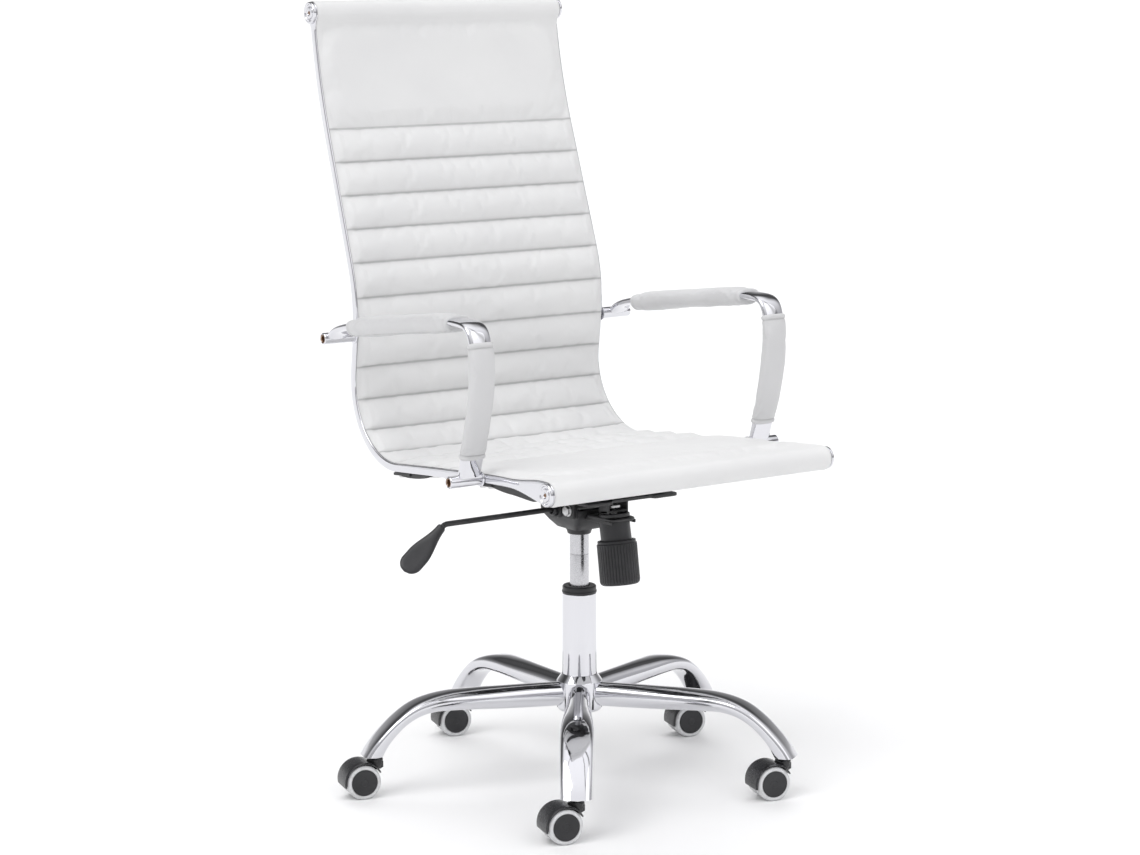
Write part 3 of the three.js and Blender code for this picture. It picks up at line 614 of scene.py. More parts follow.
def wheel_parts():
    """Tyre, disc and axle end of one wheel, its inner face at z 0 and its axis along z."""
    tyre = lathe(
        [(3.5, 0.6), (16, 0), (22.6, 0), (25, 2.6), (25, 14.2), (22.4, 17), (19.8, 17), (19.2, 15.8),
         (3.5, 15.4)],
        72, [0.3, 0.3, 2.2, 2.6, 2.6, 1.6, 0.5, 0.4, 0.3], 5)
    disc = lathe(
        [(0, 15.6), (19, 15.9), (19, 16.9), (17.6, 17), (13, 16.5), (5.5, 16.2), (4.6, 16.8), (0, 17)],
        72, [0, 0.3, 0.5, 0.8, 2, 0.6, 0.5, 0], 4)
    return tyre, disc


def hood_part():
    """The hood in its own frame: swivel axis along z, wheels trailing towards +x, axle along y."""
    half, wheel_r, trail = 21.6, 25, 22
    inner, outer = wheel_r + 1.7, wheel_r + 4.2
    profile = [(inner, -half + 0.4), (outer - 1.6, -half), (outer - 0.3, -half + 3), (outer, -6), (outer, 6),
               (outer - 0.3, half - 3), (outer - 1.6, half), (inner, half - 0.4), (inner, 0)]
    to_axle = Matrix.Translation((trail, 0, wheel_r)) @ Matrix.Rotation(math.pi / 2, 4, "X")
    shell = moved(lathe(profile, 64, [0.7, 1.2, 2, 6, 6, 2, 1.2, 0.7, 0], 4, (-12, 152)), to_axle)
    web_outline = [(inner + 1, math.radians(a)) for a in np.linspace(-8, 148, 30)]
    web_points = [(r * math.cos(a), r * math.sin(a)) for r, a in web_outline] + [(-6, 4), (-4, -6), (6, -5)]
    web = skin([[(x, y, z) for x, y in web_points] for z in (-3.9, 3.9)])
    collar = lathe(
        [(0, 40), (10.2, 40), (11.6, 47), (11.6, 53.4), (10.6, 55.1), (5.5, 55.1), (5.5, 45), (0, 45)], 48,
         [0, 1, 2, 1, 0.8, 0.3, 0, 0])
    cheek = plate([(2, -9), (30, -9), (30, 9), (2, 9)], 9, 0.6, 5)
    cheek = shift(cheek, -13, 0, 41.5)
    return join(shell, moved(web, to_axle), collar, cheek)


def casters():
    tyre, disc = wheel_parts()
    hood = hood_part()
    for n in range(1, LEG_COUNT + 1):
        stem_low, stem_high = span(f"caster_{n}_stem")
        stem = (stem_low + stem_high) / 2
        axle_low, axle_high = span(f"caster_{n}_axle")
        axle = (axle_low + axle_high) / 2
        heading = math.atan2(axle.y - stem.y, axle.x - stem.x)
        there = Matrix.Translation((stem.x, stem.y, 0)) @ Matrix.Rotation(heading, 4, "Z")
        make(f"caster_{n}_hood_shell", moved(hood, there), GLOSS, f"caster_{n}",
             [f"caster_{n}_hood"], 40)
        stem_part = lathe(
            [(0, 42), (5, 42), (5, 55.6), (9, 55.6), (9, 59.3), (5, 59.3), (5, 77), (0, 77)], 40, 0.4)
        make(f"caster_{n}_pin", shift(stem_part, stem.x, stem.y), ZINC, "base", [f"caster_{n}_stem"])
        for letter, side in (("a", 1), ("b", -1)):
            flip = Matrix.Rotation(-side * math.pi / 2, 4, "X")
            hub = there @ Matrix.Translation((22, side * 4.6, axle.z)) @ flip
            body = f"wheel_{n}{letter}"
            make(f"caster_{n}_tyre_{letter}", moved(tyre, hub), TYRE, body,
                 [f"caster_{n}_wheel_{letter}"])
            make(f"caster_{n}_disc_{letter}", moved(disc, hub), PLASTIC, body)


# ---------------------------------------------------------------- mechanism, lever and knob

HOUSE_LOW, HOUSE_HIGH = 374, 408
PIVOT = (-30, 408)
PLATE_LOW = 432
LEVER_Z = sum(corner.z for corner in span("lever_rod")) / 2


def rounded_box(half_x, y_from, y_to, radius, steps=5):
    corners = [(-half_x, y_from), (half_x, y_from), (half_x, y_to), (-half_x, y_to)]
    return fillet(corners, radius, steps)


def housing():
    """A pressed steel pan with a collar for the gas lift, raised ears for the axle and a front lip."""
    low, high = HOUSE_LOW, HOUSE_HIGH
    walls = [
        (20, -22, 23, 9, low), (24, -27, 28, 10, low + 1.5), (31, -37, 38, 10, low + 11),
        (36.6, -44, 46, 9, low + 21), (38, -46, 48, 9, high - 7), (38, -46, 48, 9, high - 1),
        (37.4, -45.4, 47.4, 8.5, high), (35.6, -43.6, 45.6, 7, high), (35, -43, 45, 7, high - 1),
        (33.6, -41, 43, 7, low + 22), (28, -34, 35, 8, low + 13), (19, -22, 23, 7, low + 3),
    ]
    pan = skin([[(x, y, z) for x, y in rounded_box(hx, a, b, r)] for hx, a, b, r, z in walls])
    collar = lathe(
        [(14.4, low - 8), (17, low - 8), (18, low - 4), (20, low), (24, low + 4), (20, low + 5),
         (14.4, low + 3)],
        64, 0.9)
    ear_side = fillet([(-17, 396), (17, 396), (15, 409), (9, 417.6), (-9, 417.6), (-15, 409)], 4)
    ears = []
    for x in (-38, 35):
        edges = ((0, 0.985), (0.4, 1), (2.6, 1), (3, 0.985))
        rings = [[(x + dx, PIVOT[0] + y * k, z) for y, z in ear_side] for dx, k in edges]
        ears.append(skin(rings))
    bosses = []
    for x in (-39.2, 35.8):
        boss = lathe([(5.4, x), (9.5, x), (9.5, x + 3.4), (5.4, x + 3.4)], 40, 0.6)
        bosses.append(shift(axis_x(boss), 0, *PIVOT))
    lip = plate([(-21, -110), (21, -110), (23, -88), (24, -44), (-24, -44), (-23, -88)], 4, 0.8, 12)
    rim = lathe([(16.5, 96.6), (22.2, 96.6), (22.2, 101.2), (20.8, 102.2), (16.5, 102.2)], 72, 0.5)
    rib = plate([(-1.6, -106), (1.6, -106), (1.6, -44), (-1.6, -44)], 5, 0.6, 1.4)
    ribs = [shift(rib, x, 0, 395.5) for x in (-21, 21)]
    lever_boss = axis_x(lathe([(9.6, -43), (12.6, -43), (13.4, -36), (9.6, -36)], 40, 0.6))
    lever_boss = shift(lever_boss, 0, 0, LEVER_Z)
    part = join(pan, collar, *ears, *bosses, shift(lip, 0, 0, 399.8), along_knob(rim), *ribs, lever_boss)
    make("mechanism_pan", part, COAT, "post", ["mechanism_housing"])
    nuts = []
    for side in (-1, 1):
        nut = axis_x(hex_bolt(13, 4.5, 8.5))
        nuts.append(shift(nut if side > 0 else mirrored(nut), side * 41.6, *PIVOT))
    make("axle_ends", join(*nuts), ZINC, "post")
    rod = axis_x(lathe([(0, -45), (5, -45), (5, 45), (0, 45)], 32, 0.5))
    make("tilt_axle_rod", shift(rod, 0, *PIVOT), ZINC, "post", ["tilt_axle"])


def seat_plate():
    outline_points = [(-80, -132), (-38, -132), (-34, -124), (34, -124), (38, -132), (80, -132), (80, 112),
                      (-80, 112)]
    sheet = plate(outline_points, 4, 0.7, [9, 4, 5, 5, 4, 9, 9, 9], 6)
    ribs = [plate([(x - 3, -112), (x + 3, -112), (x + 3, 92), (x - 3, 92)], 3.2, 1.2, 2.9) for x in (-58, 58)]
    ribs = [shift(r, 0, 0, -2.4) for r in ribs]
    ear_side = fillet(
        [(-13, 396.5), (13, 396.5), (13, 420), (17, 433.5), (-17, 433.5), (-13, 420)], [7, 7, 6, 0, 0, 6])
    ears = []
    for x in (38.4, -41.4):
        rings = [[(x + dx, PIVOT[0] + y, z) for y, z in ear_side] for dx in (0, 3)]
        ears.append(skin(rings))
    hook = along_knob(shift(plate([(-18, -11), (18, -11), (18, 11), (-18, 11)], 3.5, 0.5, 3), 0, 0, 103.4))
    cheek = shift(plate([(15, -94), (18, -94), (18, -72), (15, -72)], 24, 0.4, 1), 0, 0, 409)
    cheeks = [cheek, mirrored(cheek)]
    part = join(shift(join(sheet, *ribs), 0, 0, PLATE_LOW), *ears, hook, *cheeks)
    make("seat_plate_pressing", part, COAT, "seat", ["seat_plate"])


SUPPORTS = (("front_support", -100), ("rear_support", 118))
SUPPORT_THICK, SUPPORT_WIDE, SUPPORT_FLAT, SUPPORT_FOOT = 4, 42, 76, 32


def supports():
    bolts, heads = [], []
    for name, y in SUPPORTS:
        s = where(lambda p: p[0] >= y)
        _, z, slope = outline(s)
        under = z - RAIL_DEEP / 2 / math.cos(slope) - 0.3
        low = PLATE_LOW + 4 + 0.3 + abs(math.tan(slope)) * SUPPORT_WIDE / 2
        out, rise = half_over(y) - 0.3, under - SUPPORT_THICK - low
        bottom = [(-out, rise), (-out + SUPPORT_FOOT, rise), (-SUPPORT_FLAT, 0), (SUPPORT_FLAT, 0),
                  (out - SUPPORT_FOOT, rise), (out, rise)]
        ring = fillet(bottom + [(x, z0 + SUPPORT_THICK) for x, z0 in reversed(bottom)],
                      [0.8, 14, 22, 22, 14, 0.8, 0.8, 18, 18, 18, 18, 0.8], 6)
        middle = np.mean(ring, 0)
        rings = []
        for across, inset in ((-21, 0.5), (-20.5, 0), (20.5, 0), (21, 0.5)):
            rings.append([(x - inset * np.sign(x - middle[0]), across, z0) for x, z0 in ring])
        there = Matrix.Translation((0, y, low)) @ Matrix.Rotation(slope, 4, "X")
        make(name + "_bar", moved(skin(rings), there), COAT, "seat", [name])
        for side in (-1, 1):
            for along in (-10, 10):
                head = moved(socket_screw(5.5, 3.4, 2.3, 2), Matrix.Rotation(math.pi, 4, "X"))
                spot = Matrix.Translation((side * (out - 9), along, rise - 0.02))
                bolts.append(moved(head, there @ spot))
                nut = shift(hex_bolt(10, 3.4, 7), side * 48, along, SUPPORT_THICK)
                heads.append(moved(nut, there))
    make("support_screws", join(*bolts), ZINC, "seat")
    # painted shade: black strips hung under the rails, from the front cap back to the front support and round
    # the rear support, stand in for the shadow and dark reflection beneath the rails
    shade_strips = []
    for y_from, y_to, deep in ((-225, -112, 6.5), (52, 140, 4)):
        first, last = where(lambda p: p[0] >= y_from), where(lambda p: p[0] >= y_to)
        rings = []
        for s in np.linspace(first, last, 24):
            y, z, heading = outline(s)
            share = (s - first) / (last - first)
            tall = 3 + deep * math.sin(math.pi * share) ** 0.7
            under = rail_half(s) + 0.3
            foot = under + tall
            corners = [(-26, under), (-4.2, under), (-3.6, under + 0.6), (-3.6, foot - 0.5), (-4.1, foot),
                       (-6.1, foot), (-6.6, foot - 0.5), (-9, under + 2.6), (-26, under + 2.6)]
            rings.append([(x, y + math.sin(heading) * h, z - math.cos(heading) * h) for x, h in corners])
        shade_strips += [beside(skin(rings), side) for side in (-1, 1)]
    make("rail_shade_strips", join(*shade_strips), COAT, "seat")
    make("plate_bolts", join(*heads), ZINC, "seat")


def knob():
    cover = lathe([(19.5, 48), (22, 48), (22.2, 60), (22.2, 104), (19.5, 104)], 72, 0.6)
    low_limit = 399.4
    verts, faces = along_knob(cover)
    verts[:, 2] = np.minimum(verts[:, 2], low_limit)
    make("spring_sleeve", (verts, faces), PLASTIC, "post", ["spring_cover"])

    ribs = 40

    def ripple(angle, r, z):
        if r < 27.6 or z < 3.2 or z > 58.6:
            return 0
        wave = abs(math.sin(angle * ribs / 2))
        return -1.1 * (1 - wave) ** 1.5

    outline_points = [(0, 0), (25.2, 0), (27.6, 1.8), (28.4, 3.6), (29, 6), (29, 30), (29, 57.4),
                      (28.8, 58.8),
                      (27.6, 59.6), (27.6, 63), (26.6, 64), (23.8, 64), (23.8, 22), (5, 22), (5, 5), (0, 5)]
    rounding = [0, 2, 1, 0.6, 0.5, 0, 0.4, 0.4, 0.4, 0.6, 0.5, 0.4, 0, 0, 0, 0]
    grip = lathe(outline_points, ribs * 8, rounding, 3, ripple=ripple)
    make("knob_grip", along_knob(grip), PLASTIC, "knob", ["tension_knob"], 30)


def tension_spring():
    """The coil under the housing's lip. It is drawn 8 mm short of the washer, which the knob can raise."""
    first, last, turns, radius, wire = 35.9, 88.6, 5, 14.5, 1.7
    rings = []
    for t in np.linspace(0, 1, turns * 28 + 1):
        a = t * turns * 2 * math.pi
        out = np.array([math.cos(a), math.sin(a), 0])
        centre = out * radius + np.array([0, 0, first + (last - first) * t])
        rings.append([centre + wire * (math.cos(b) * out + math.sin(b) * np.array([0, 0, 1]))
                      for b in np.linspace(0, 2 * math.pi, 12, endpoint=False)])
    coil = make("spring_coil", along_knob(skin(rings)), ZINC, "post", ["tension_spring"], 60)
    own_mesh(coil)


def lever():
    bend = 14
    reach = 229
    drop = math.radians(41)
    line = [(x, 0, LEVER_Z) for x in np.linspace(14, -reach, 12)]
    for k in range(1, 9):
        a = drop * k / 8
        line.append((-reach - bend * math.sin(a), 0, LEVER_Z - bend * (1 - math.cos(a))))
    tip = np.array(line[-1])
    ahead = np.array([-math.cos(drop), 0, -math.sin(drop)])
    line.append(tuple(tip + ahead * 6))
    rings = []
    for k, p in enumerate(np.array(line)):
        back = np.array(line[max(k - 1, 0)])
        front = np.array(line[min(k + 1, len(line) - 1)])
        tangent = (front - back) / np.linalg.norm(front - back)
        up = np.array([-tangent[2], 0, tangent[0]]) * -1
        rings.append([p + 4 * (math.cos(a) * np.array([0, 1, 0]) + math.sin(a) * up)
                      for a in np.linspace(0, 2 * math.pi, 32, endpoint=False)])
    make("lever_bar", skin(rings), COAT, "lever", ["lever_rod"])

    foot = tip - ahead * 1.5
    level = np.array([0, 1, 0])
    steep = np.array([ahead[2], 0, -ahead[0]])
    twist = math.radians(PADDLE_TWIST)
    across = math.cos(twist) * level + math.sin(twist) * steep
    up = math.cos(twist) * steep - math.sin(twist) * level
    long = 87
    stations = 46
    rings = []
    for k in range(stations):
        t = k / (stations - 1)
        round_end = math.sqrt(max(0, 1 - max(0, (t - 0.80) / 0.2) ** 2))
        round_start = math.sqrt(max(0, 1 - max(0, (0.05 - t) / 0.05) ** 2))
        wide = (6.4 + 9.8 * float(smooth(0.05, 0.66, t))) * max(round_end, 0.02) * max(round_start, 0.3)
        tall = (5.6 - 1.3 * float(smooth(0.1, 0.6, t))) * max(round_end ** 0.7, 0.03) * max(round_start, 0.4)
        lift = 3.0 * (2 * t - 1) ** 2 - 1.0
        centre = foot + ahead * long * t + up * lift
        hollow = 0.9 * float(smooth(0.25, 0.5, t) * smooth(1.0, 0.85, t))
        ring = []
        for a, b in superoval(2, 2, 40, 2.7):
            dish = hollow * max(0, 1 - (a / 0.8) ** 2) if b > 0 else 0
            ring.append(centre + across * a * wide + up * (b * tall - dish))
        rings.append(ring)
    make("lever_grip", skin(rings), PLASTIC, "lever", ["lever_paddle"], 50)
    collar = axis_x(lathe([(6.3, -50.5), (8.0, -50.5), (8.8, -48), (8.8, -25), (6.3, -25)], 40, 0.5))
    collar = shift(collar, 0, 0, LEVER_Z)
    make("lever_collar", collar, PLASTIC, "lever_carrier", ["lever_bush"])


# ---------------------------------------------------------------- frame


def rails():
    for side, name in SIDES:
        face, back = [], []
        for s in np.unique(np.concatenate([np.linspace(0, 16, 12), np.linspace(16, RUN_LENGTH - 16, 180),
                                           np.linspace(RUN_LENGTH - 16, RUN_LENGTH, 12)])):
            y, z, heading = outline(s)
            half = rail_half(s)
            face.append((y - math.sin(heading) * half, z + math.cos(heading) * half))
            back.append((y + math.sin(heading) * half, z - math.cos(heading) * half))
        y, z, heading = TOP_TUBE
        top = [(y + RAIL_EYE * math.cos(a), z + RAIL_EYE * math.sin(a))
               for a in np.linspace(heading - math.pi / 2, heading + math.pi / 2, 20)[1:-1]]
        y, z = FRONT_TUBE
        heading = math.radians(START_HEADING)
        front = [(y + RAIL_EYE * math.cos(a), z + RAIL_EYE * math.sin(a))
                 for a in np.linspace(heading + math.pi / 2, heading + 1.5 * math.pi, 20)[1:-1]]
        ring = np.array(back + top + face[::-1] + front)
        ahead = np.roll(ring, -1, 0) - np.roll(ring, 1, 0)
        ahead /= np.linalg.norm(ahead, axis=1)[:, None]
        inward = np.stack([-ahead[:, 1], ahead[:, 0]], 1)
        levels = [(0, 1.5), (0.25, 0.9), (0.7, 0.3), (1.5, 0), (4.5, 0), (5.3, 0.3), (5.75, 0.9), (6, 1.5)]
        rings = [[(-x, *(p + n * inset)) for p, n in zip(ring, inward)] for x, inset in levels]
        make(f"{name}_side_rail", beside(skin(rings), side), CHROME, "seat", [f"{name}_rail"], 50)


def cap_part():
    """An end cap with a turned ring and a seat for its screw, its axis along x."""
    outline_points = [(0, -9), (7, -9), (7, 0.3), (16, 0.3), (16, 3.4), (15, 4.6), (12.6, 4.6), (11.6, 2.6),
                      (9.4, 2.2), (8.6, 4.2), (4.4, 4.8), (3.2, 3.4), (0, 3.2)]
    rounding = [0, 0, 0.3, 0.5, 1.0, 0.8, 0.8, 0.8, 0.8, 0.8, 1.0, 0.3, 0]
    cap = lathe(outline_points, 96, rounding, 4)
    return axis_x(cap)


def caps():
    screw = axis_x(shift(socket_screw(2.6, 1.3, 1.1, 0.8), 0, 0, 3.2))
    for side, name in SIDES:
        for place, spot in (("top", TOP_TUBE[:2]), ("front", FRONT_TUBE)):
            cap = beside(shift(cap_part(), 0, *spot), side)
            make(f"{name}_{place}_end_cap", cap, CHROME, "seat", [f"{name}_{place}_cap"])
            make(f"{name}_{place}_cap_screw", beside(shift(screw, 0, *spot), side), BRONZE, "seat")


# ---------------------------------------------------------------- arms

REAR_BOSS = outline(where(lambda p: p[1] >= 645))[:2]
FRONT_BOSS = outline(where(lambda p: p[0] >= -94))[:2]


def arm_line(count):
    """The arm's middle line in the side plane, at evenly spaced points."""
    rear_y, rear_z = REAR_BOSS
    top = rear_z + 58
    front_y = FRONT_BOSS[0] - 32
    return catmull(
        [(rear_y, rear_z), (rear_y - 20, rear_z + 13), (rear_y - 52, top - 36), (rear_y - 180, top - 18),
         (front_y + 42, top - 2), (front_y + 12, top - 7.5), (front_y, top - 30), (front_y - 1, top - 80),
         (front_y + 14.4, FRONT_BOSS[1] + 62), FRONT_BOSS], count)


def swept(line, section):
    """Rings of a section (across x, towards the outside of the loop) along a line in the side plane."""
    rings = []
    for k, p in enumerate(line):
        ahead = line[min(k + 1, len(line) - 1)] - line[max(k - 1, 0)]
        ahead = ahead / np.linalg.norm(ahead)
        outward = np.array([ahead[1], -ahead[0]])
        rings.append([(a, *(p + outward * b)) for a, b in section])
    return skin(rings)


def splayed(part):
    """Sets a sweep of the arm's line out from the rail: further out at the rear than at the front."""
    verts, faces = part
    verts = np.array(verts, float)
    share = (verts[:, 1] - FRONT_BOSS[0]) / (REAR_BOSS[0] - FRONT_BOSS[0])
    verts[:, 0] += ARM_OFFSET + ARM_SPLAY * share
    return verts, faces


def stretch(stations, count):
    """The arm line between two of the arm's stations."""
    fine = arm_line(1201)
    first, last = (int(round(s / ARM_STEPS * 1200)) for s in stations)
    pick = np.linspace(first, last, count)
    return np.stack([np.interp(pick, np.arange(1201), fine[:, k]) for k in range(2)], 1)


def arm_frames():
    end = BOSS_LONG
    outline_points = [(5.2, 0.3), (8.5, 0.3), (8.5, end - 1), (7.6, end), (6.6, end), (6.2, end - 1),
                      (6.2, end - 9), (0, end - 9), (0, end - 14), (5.2, end - 14)]
    boss = axis_x(lathe(outline_points, 56, [0.2, 0.5, 0.9, 0.9, 0.4, 0.3, 0, 0, 0, 0], 4))
    seat, mouth = end - 8.6, end - 0.6
    liner = lathe([(4.4, seat), (6.1, seat), (6.1, mouth), (5.5, end - 0.2), (4.4, end - 1.2)], 48, 0.2)
    screw = axis_x(join(liner, shift(socket_screw(4.2, 4.0, 2.2, 2.6), 0, 0, end - 8.8)))
    base_washer = axis_x(lathe([(6, 0.3), (11, 0.3), (11, 1.6), (10, 2.4), (6, 2.4)], 48, 0.4))
    loop = splayed(swept(arm_line(200), superoval(ARM_WIDE, ARM_THICK * 0.86, 56, 2.5)))
    for side, name in SIDES:
        parts = [loop]
        for y, z in (REAR_BOSS, FRONT_BOSS):
            parts += [shift(boss, 0, y, z), shift(base_washer, 0, y, z)]
        make(f"{name}_arm_frame", beside(join(*parts), side), CHROME, "seat", [f"{name}_arm"], 40)
        screws = join(*(shift(screw, 0, y, z) for y, z in (REAR_BOSS, FRONT_BOSS)))
        make(f"{name}_arm_screws", beside(screws, side), BRONZE, "seat")


def simulate(obj, pinned, pressure, cap, frames=20, growth=0.0, tension=15):
    """Swells a closed mesh as cloth, holding the pinned points, and moves no point further than the cap."""
    start = np.array([v.co for v in obj.data.vertices])
    group = obj.vertex_groups.new(name="pinned")
    for i, weight in enumerate(pinned):
        if weight > 0:
            group.add([i], float(weight), "REPLACE")
    cloth = obj.modifiers.new("cloth", "CLOTH")
    settings = cloth.settings
    settings.vertex_group_mass = "pinned"
    settings.use_pressure = True
    settings.uniform_pressure_force = pressure
    settings.effector_weights.gravity = 0
    settings.quality = 4
    settings.mass = 0.25
    settings.tension_stiffness = tension
    settings.compression_stiffness = tension
    settings.shear_stiffness = tension * 0.5
    settings.bending_stiffness = 0.3
    settings.shrink_min = -growth
    cloth.collision_settings.use_collision = False
    cloth.point_cache.frame_start = 1
    cloth.point_cache.frame_end = frames
    scene = bpy.context.scene
    for f in range(1, frames + 1):
        scene.frame_set(f)
    shown = obj.evaluated_get(bpy.context.evaluated_depsgraph_get())
    end = np.array([v.co for v in shown.data.vertices])
    obj.modifiers.clear()
    scene.frame_set(1)
    change = np.nan_to_num(end - start)
    long = np.linalg.norm(change, axis=1)
    print(f"simulated {obj.name}: mean {long.mean() * 1000:.2f} mm, most {long.max() * 1000:.2f} mm")
    change *= np.minimum(1, cap / np.maximum(long, 1e-9))[:, None]
    obj.data.vertices.foreach_set("co", (start + change).astype(np.float32).ravel())
    obj.data.update()


def add_crease_shade(obj, values):
    # painted shade: these weights darken the leather in its valleys and along its turned edges
    attribute = obj.data.attributes.new("crease_shade", "FLOAT", "POINT")
    attribute.data.foreach_set("value", np.asarray(values, np.float32))


def wraps():
    """Leather round the arms: a padded rest with hemmed ends, and a slimmer sleeve on the upright."""
    kinds = (("pad", PAD_STATIONS, 2.2, 2.2), ("sleeve", SLEEVE_STATIONS, 2.0, 0.7))
    for side, name in SIDES:
        for kind, stations, thick, crown in kinds:
            count, sides = 90, 64
            line = stretch(stations, count)
            long = np.linalg.norm(np.diff(line, axis=0), axis=1).sum()
            inner_w, inner_t = ARM_WIDE + 2 * WRAP_ROOM, ARM_THICK + 2 * WRAP_ROOM
            section = superoval(2, 2, sides, 2.5)
            rings = []
            crease_shade = []
            pins = []
            for k in range(count):
                t = k / (count - 1)
                end = min(k, count - 1 - k) / (count - 1) * long
                hem = math.exp(-((end - 3.2) / 2.2) ** 2) * 0.9 - 1.3 * math.exp(-((end - 7.2) / 1.4) ** 2)
                hem -= 1.6 * math.exp(-(end / 1.2) ** 2)
                belly = crown * float(smooth(4, 26, end))
                ahead = line[min(k + 1, count - 1)] - line[max(k - 1, 0)]
                ahead = ahead / np.linalg.norm(ahead)
                outward = np.array([ahead[1], -ahead[0]])
                ring = []
                for i, (a, b) in enumerate(section):
                    out = thick + hem + belly * (0.6 + 0.4 * max(-b, 0))
                    half_w, half_t = inner_w / 2 + out * 0.8, inner_t / 2 - 0.9 + out
                    if kind == "pad" and b < 0:
                        half_t += PAD_DROP * (1 - 0.25 * t)
                    seam = math.exp(-((a - 0.55) / 0.05) ** 2) if b < 0 else 0
                    ring.append((a * half_w, *(line[k] + outward * b * (half_t - 0.9 * seam))))
                    # painted shade: darker leather in the valley of the seam underneath and in the groove
                    # behind each hem
                    crease_shade.append(min(1, 0.8 * seam + 0.7 * math.exp(-((end - 7.2) / 1.3) ** 2)))
                    pins.append(1 if end < 9 or seam > 0.5 else 0)
                rings.append(ring)
            part = beside(splayed(skin(rings)), side)
            obj = bare(f"{name}_arm_{kind}_leather", part, ARM_LEATHER)
            simulate(obj, pins, 3.0, 0.0016, 16, 0.01)
            add_crease_shade(obj, crease_shade)
            finish_piece(obj, "seat", [f"{name}_arm_{kind}"], 60)


# ---------------------------------------------------------------- sling


def roll_half(near):
    """Half the sling's thickness at a distance from a cross tube, where it is rolled round the tube."""
    return SLING_HALF + (ROLL_R - SLING_HALF) * math.exp(-((near / 14) ** 2))


def panel_rows():
    """Distances along the outline, close together at the seams, each with its place in its panel."""
    marks = [0, *SEAMS, RUN_LENGTH]
    rows = []
    for a, b in zip(marks, marks[1:]):
        count = int(round((b - a) / (6.0 if b - a > 2 * SEAM_PITCH else 4.2)))
        for k in range(count):
            u = k / count
            eased = 0.5 - 0.5 * math.cos(math.pi * u)
            t = u * 0.35 + eased * 0.65
            rows.append((a + (b - a) * t, t, a, b))
    rows.append((RUN_LENGTH, 1.0, RUN_LENGTH, RUN_LENGTH))
    return rows


def to_seam(s):
    return min(abs(s - seam) for seam in SEAMS)


COLUMNS = 90
RIB_SWELL = 8.2  # from the bottom of a seam to the crown of a rib
SEAM_SINK = 2.8
EDGE_INSET = 2.1  # from a rail's outer face to the leather's edge
LAP_ROOM = 0.4
BARE_EDGE = 3.6
LAP_THICK = 1.5


def swell(s, t, a, b):
    """Height over the sling's plane: valleys at the seams and rounded ribs between them."""
    if b - a > 2 * SEAM_PITCH or b - a < 1:
        return -SEAM_SINK + (SEAM_SINK + 2.0) * (1 - math.exp(-to_seam(s) / 9.0))
    full = t ** 0.85  # the crown lies a little below the middle, as stuffing sags
    return -SEAM_SINK + RIB_SWELL * math.sin(math.pi * full) ** 0.6


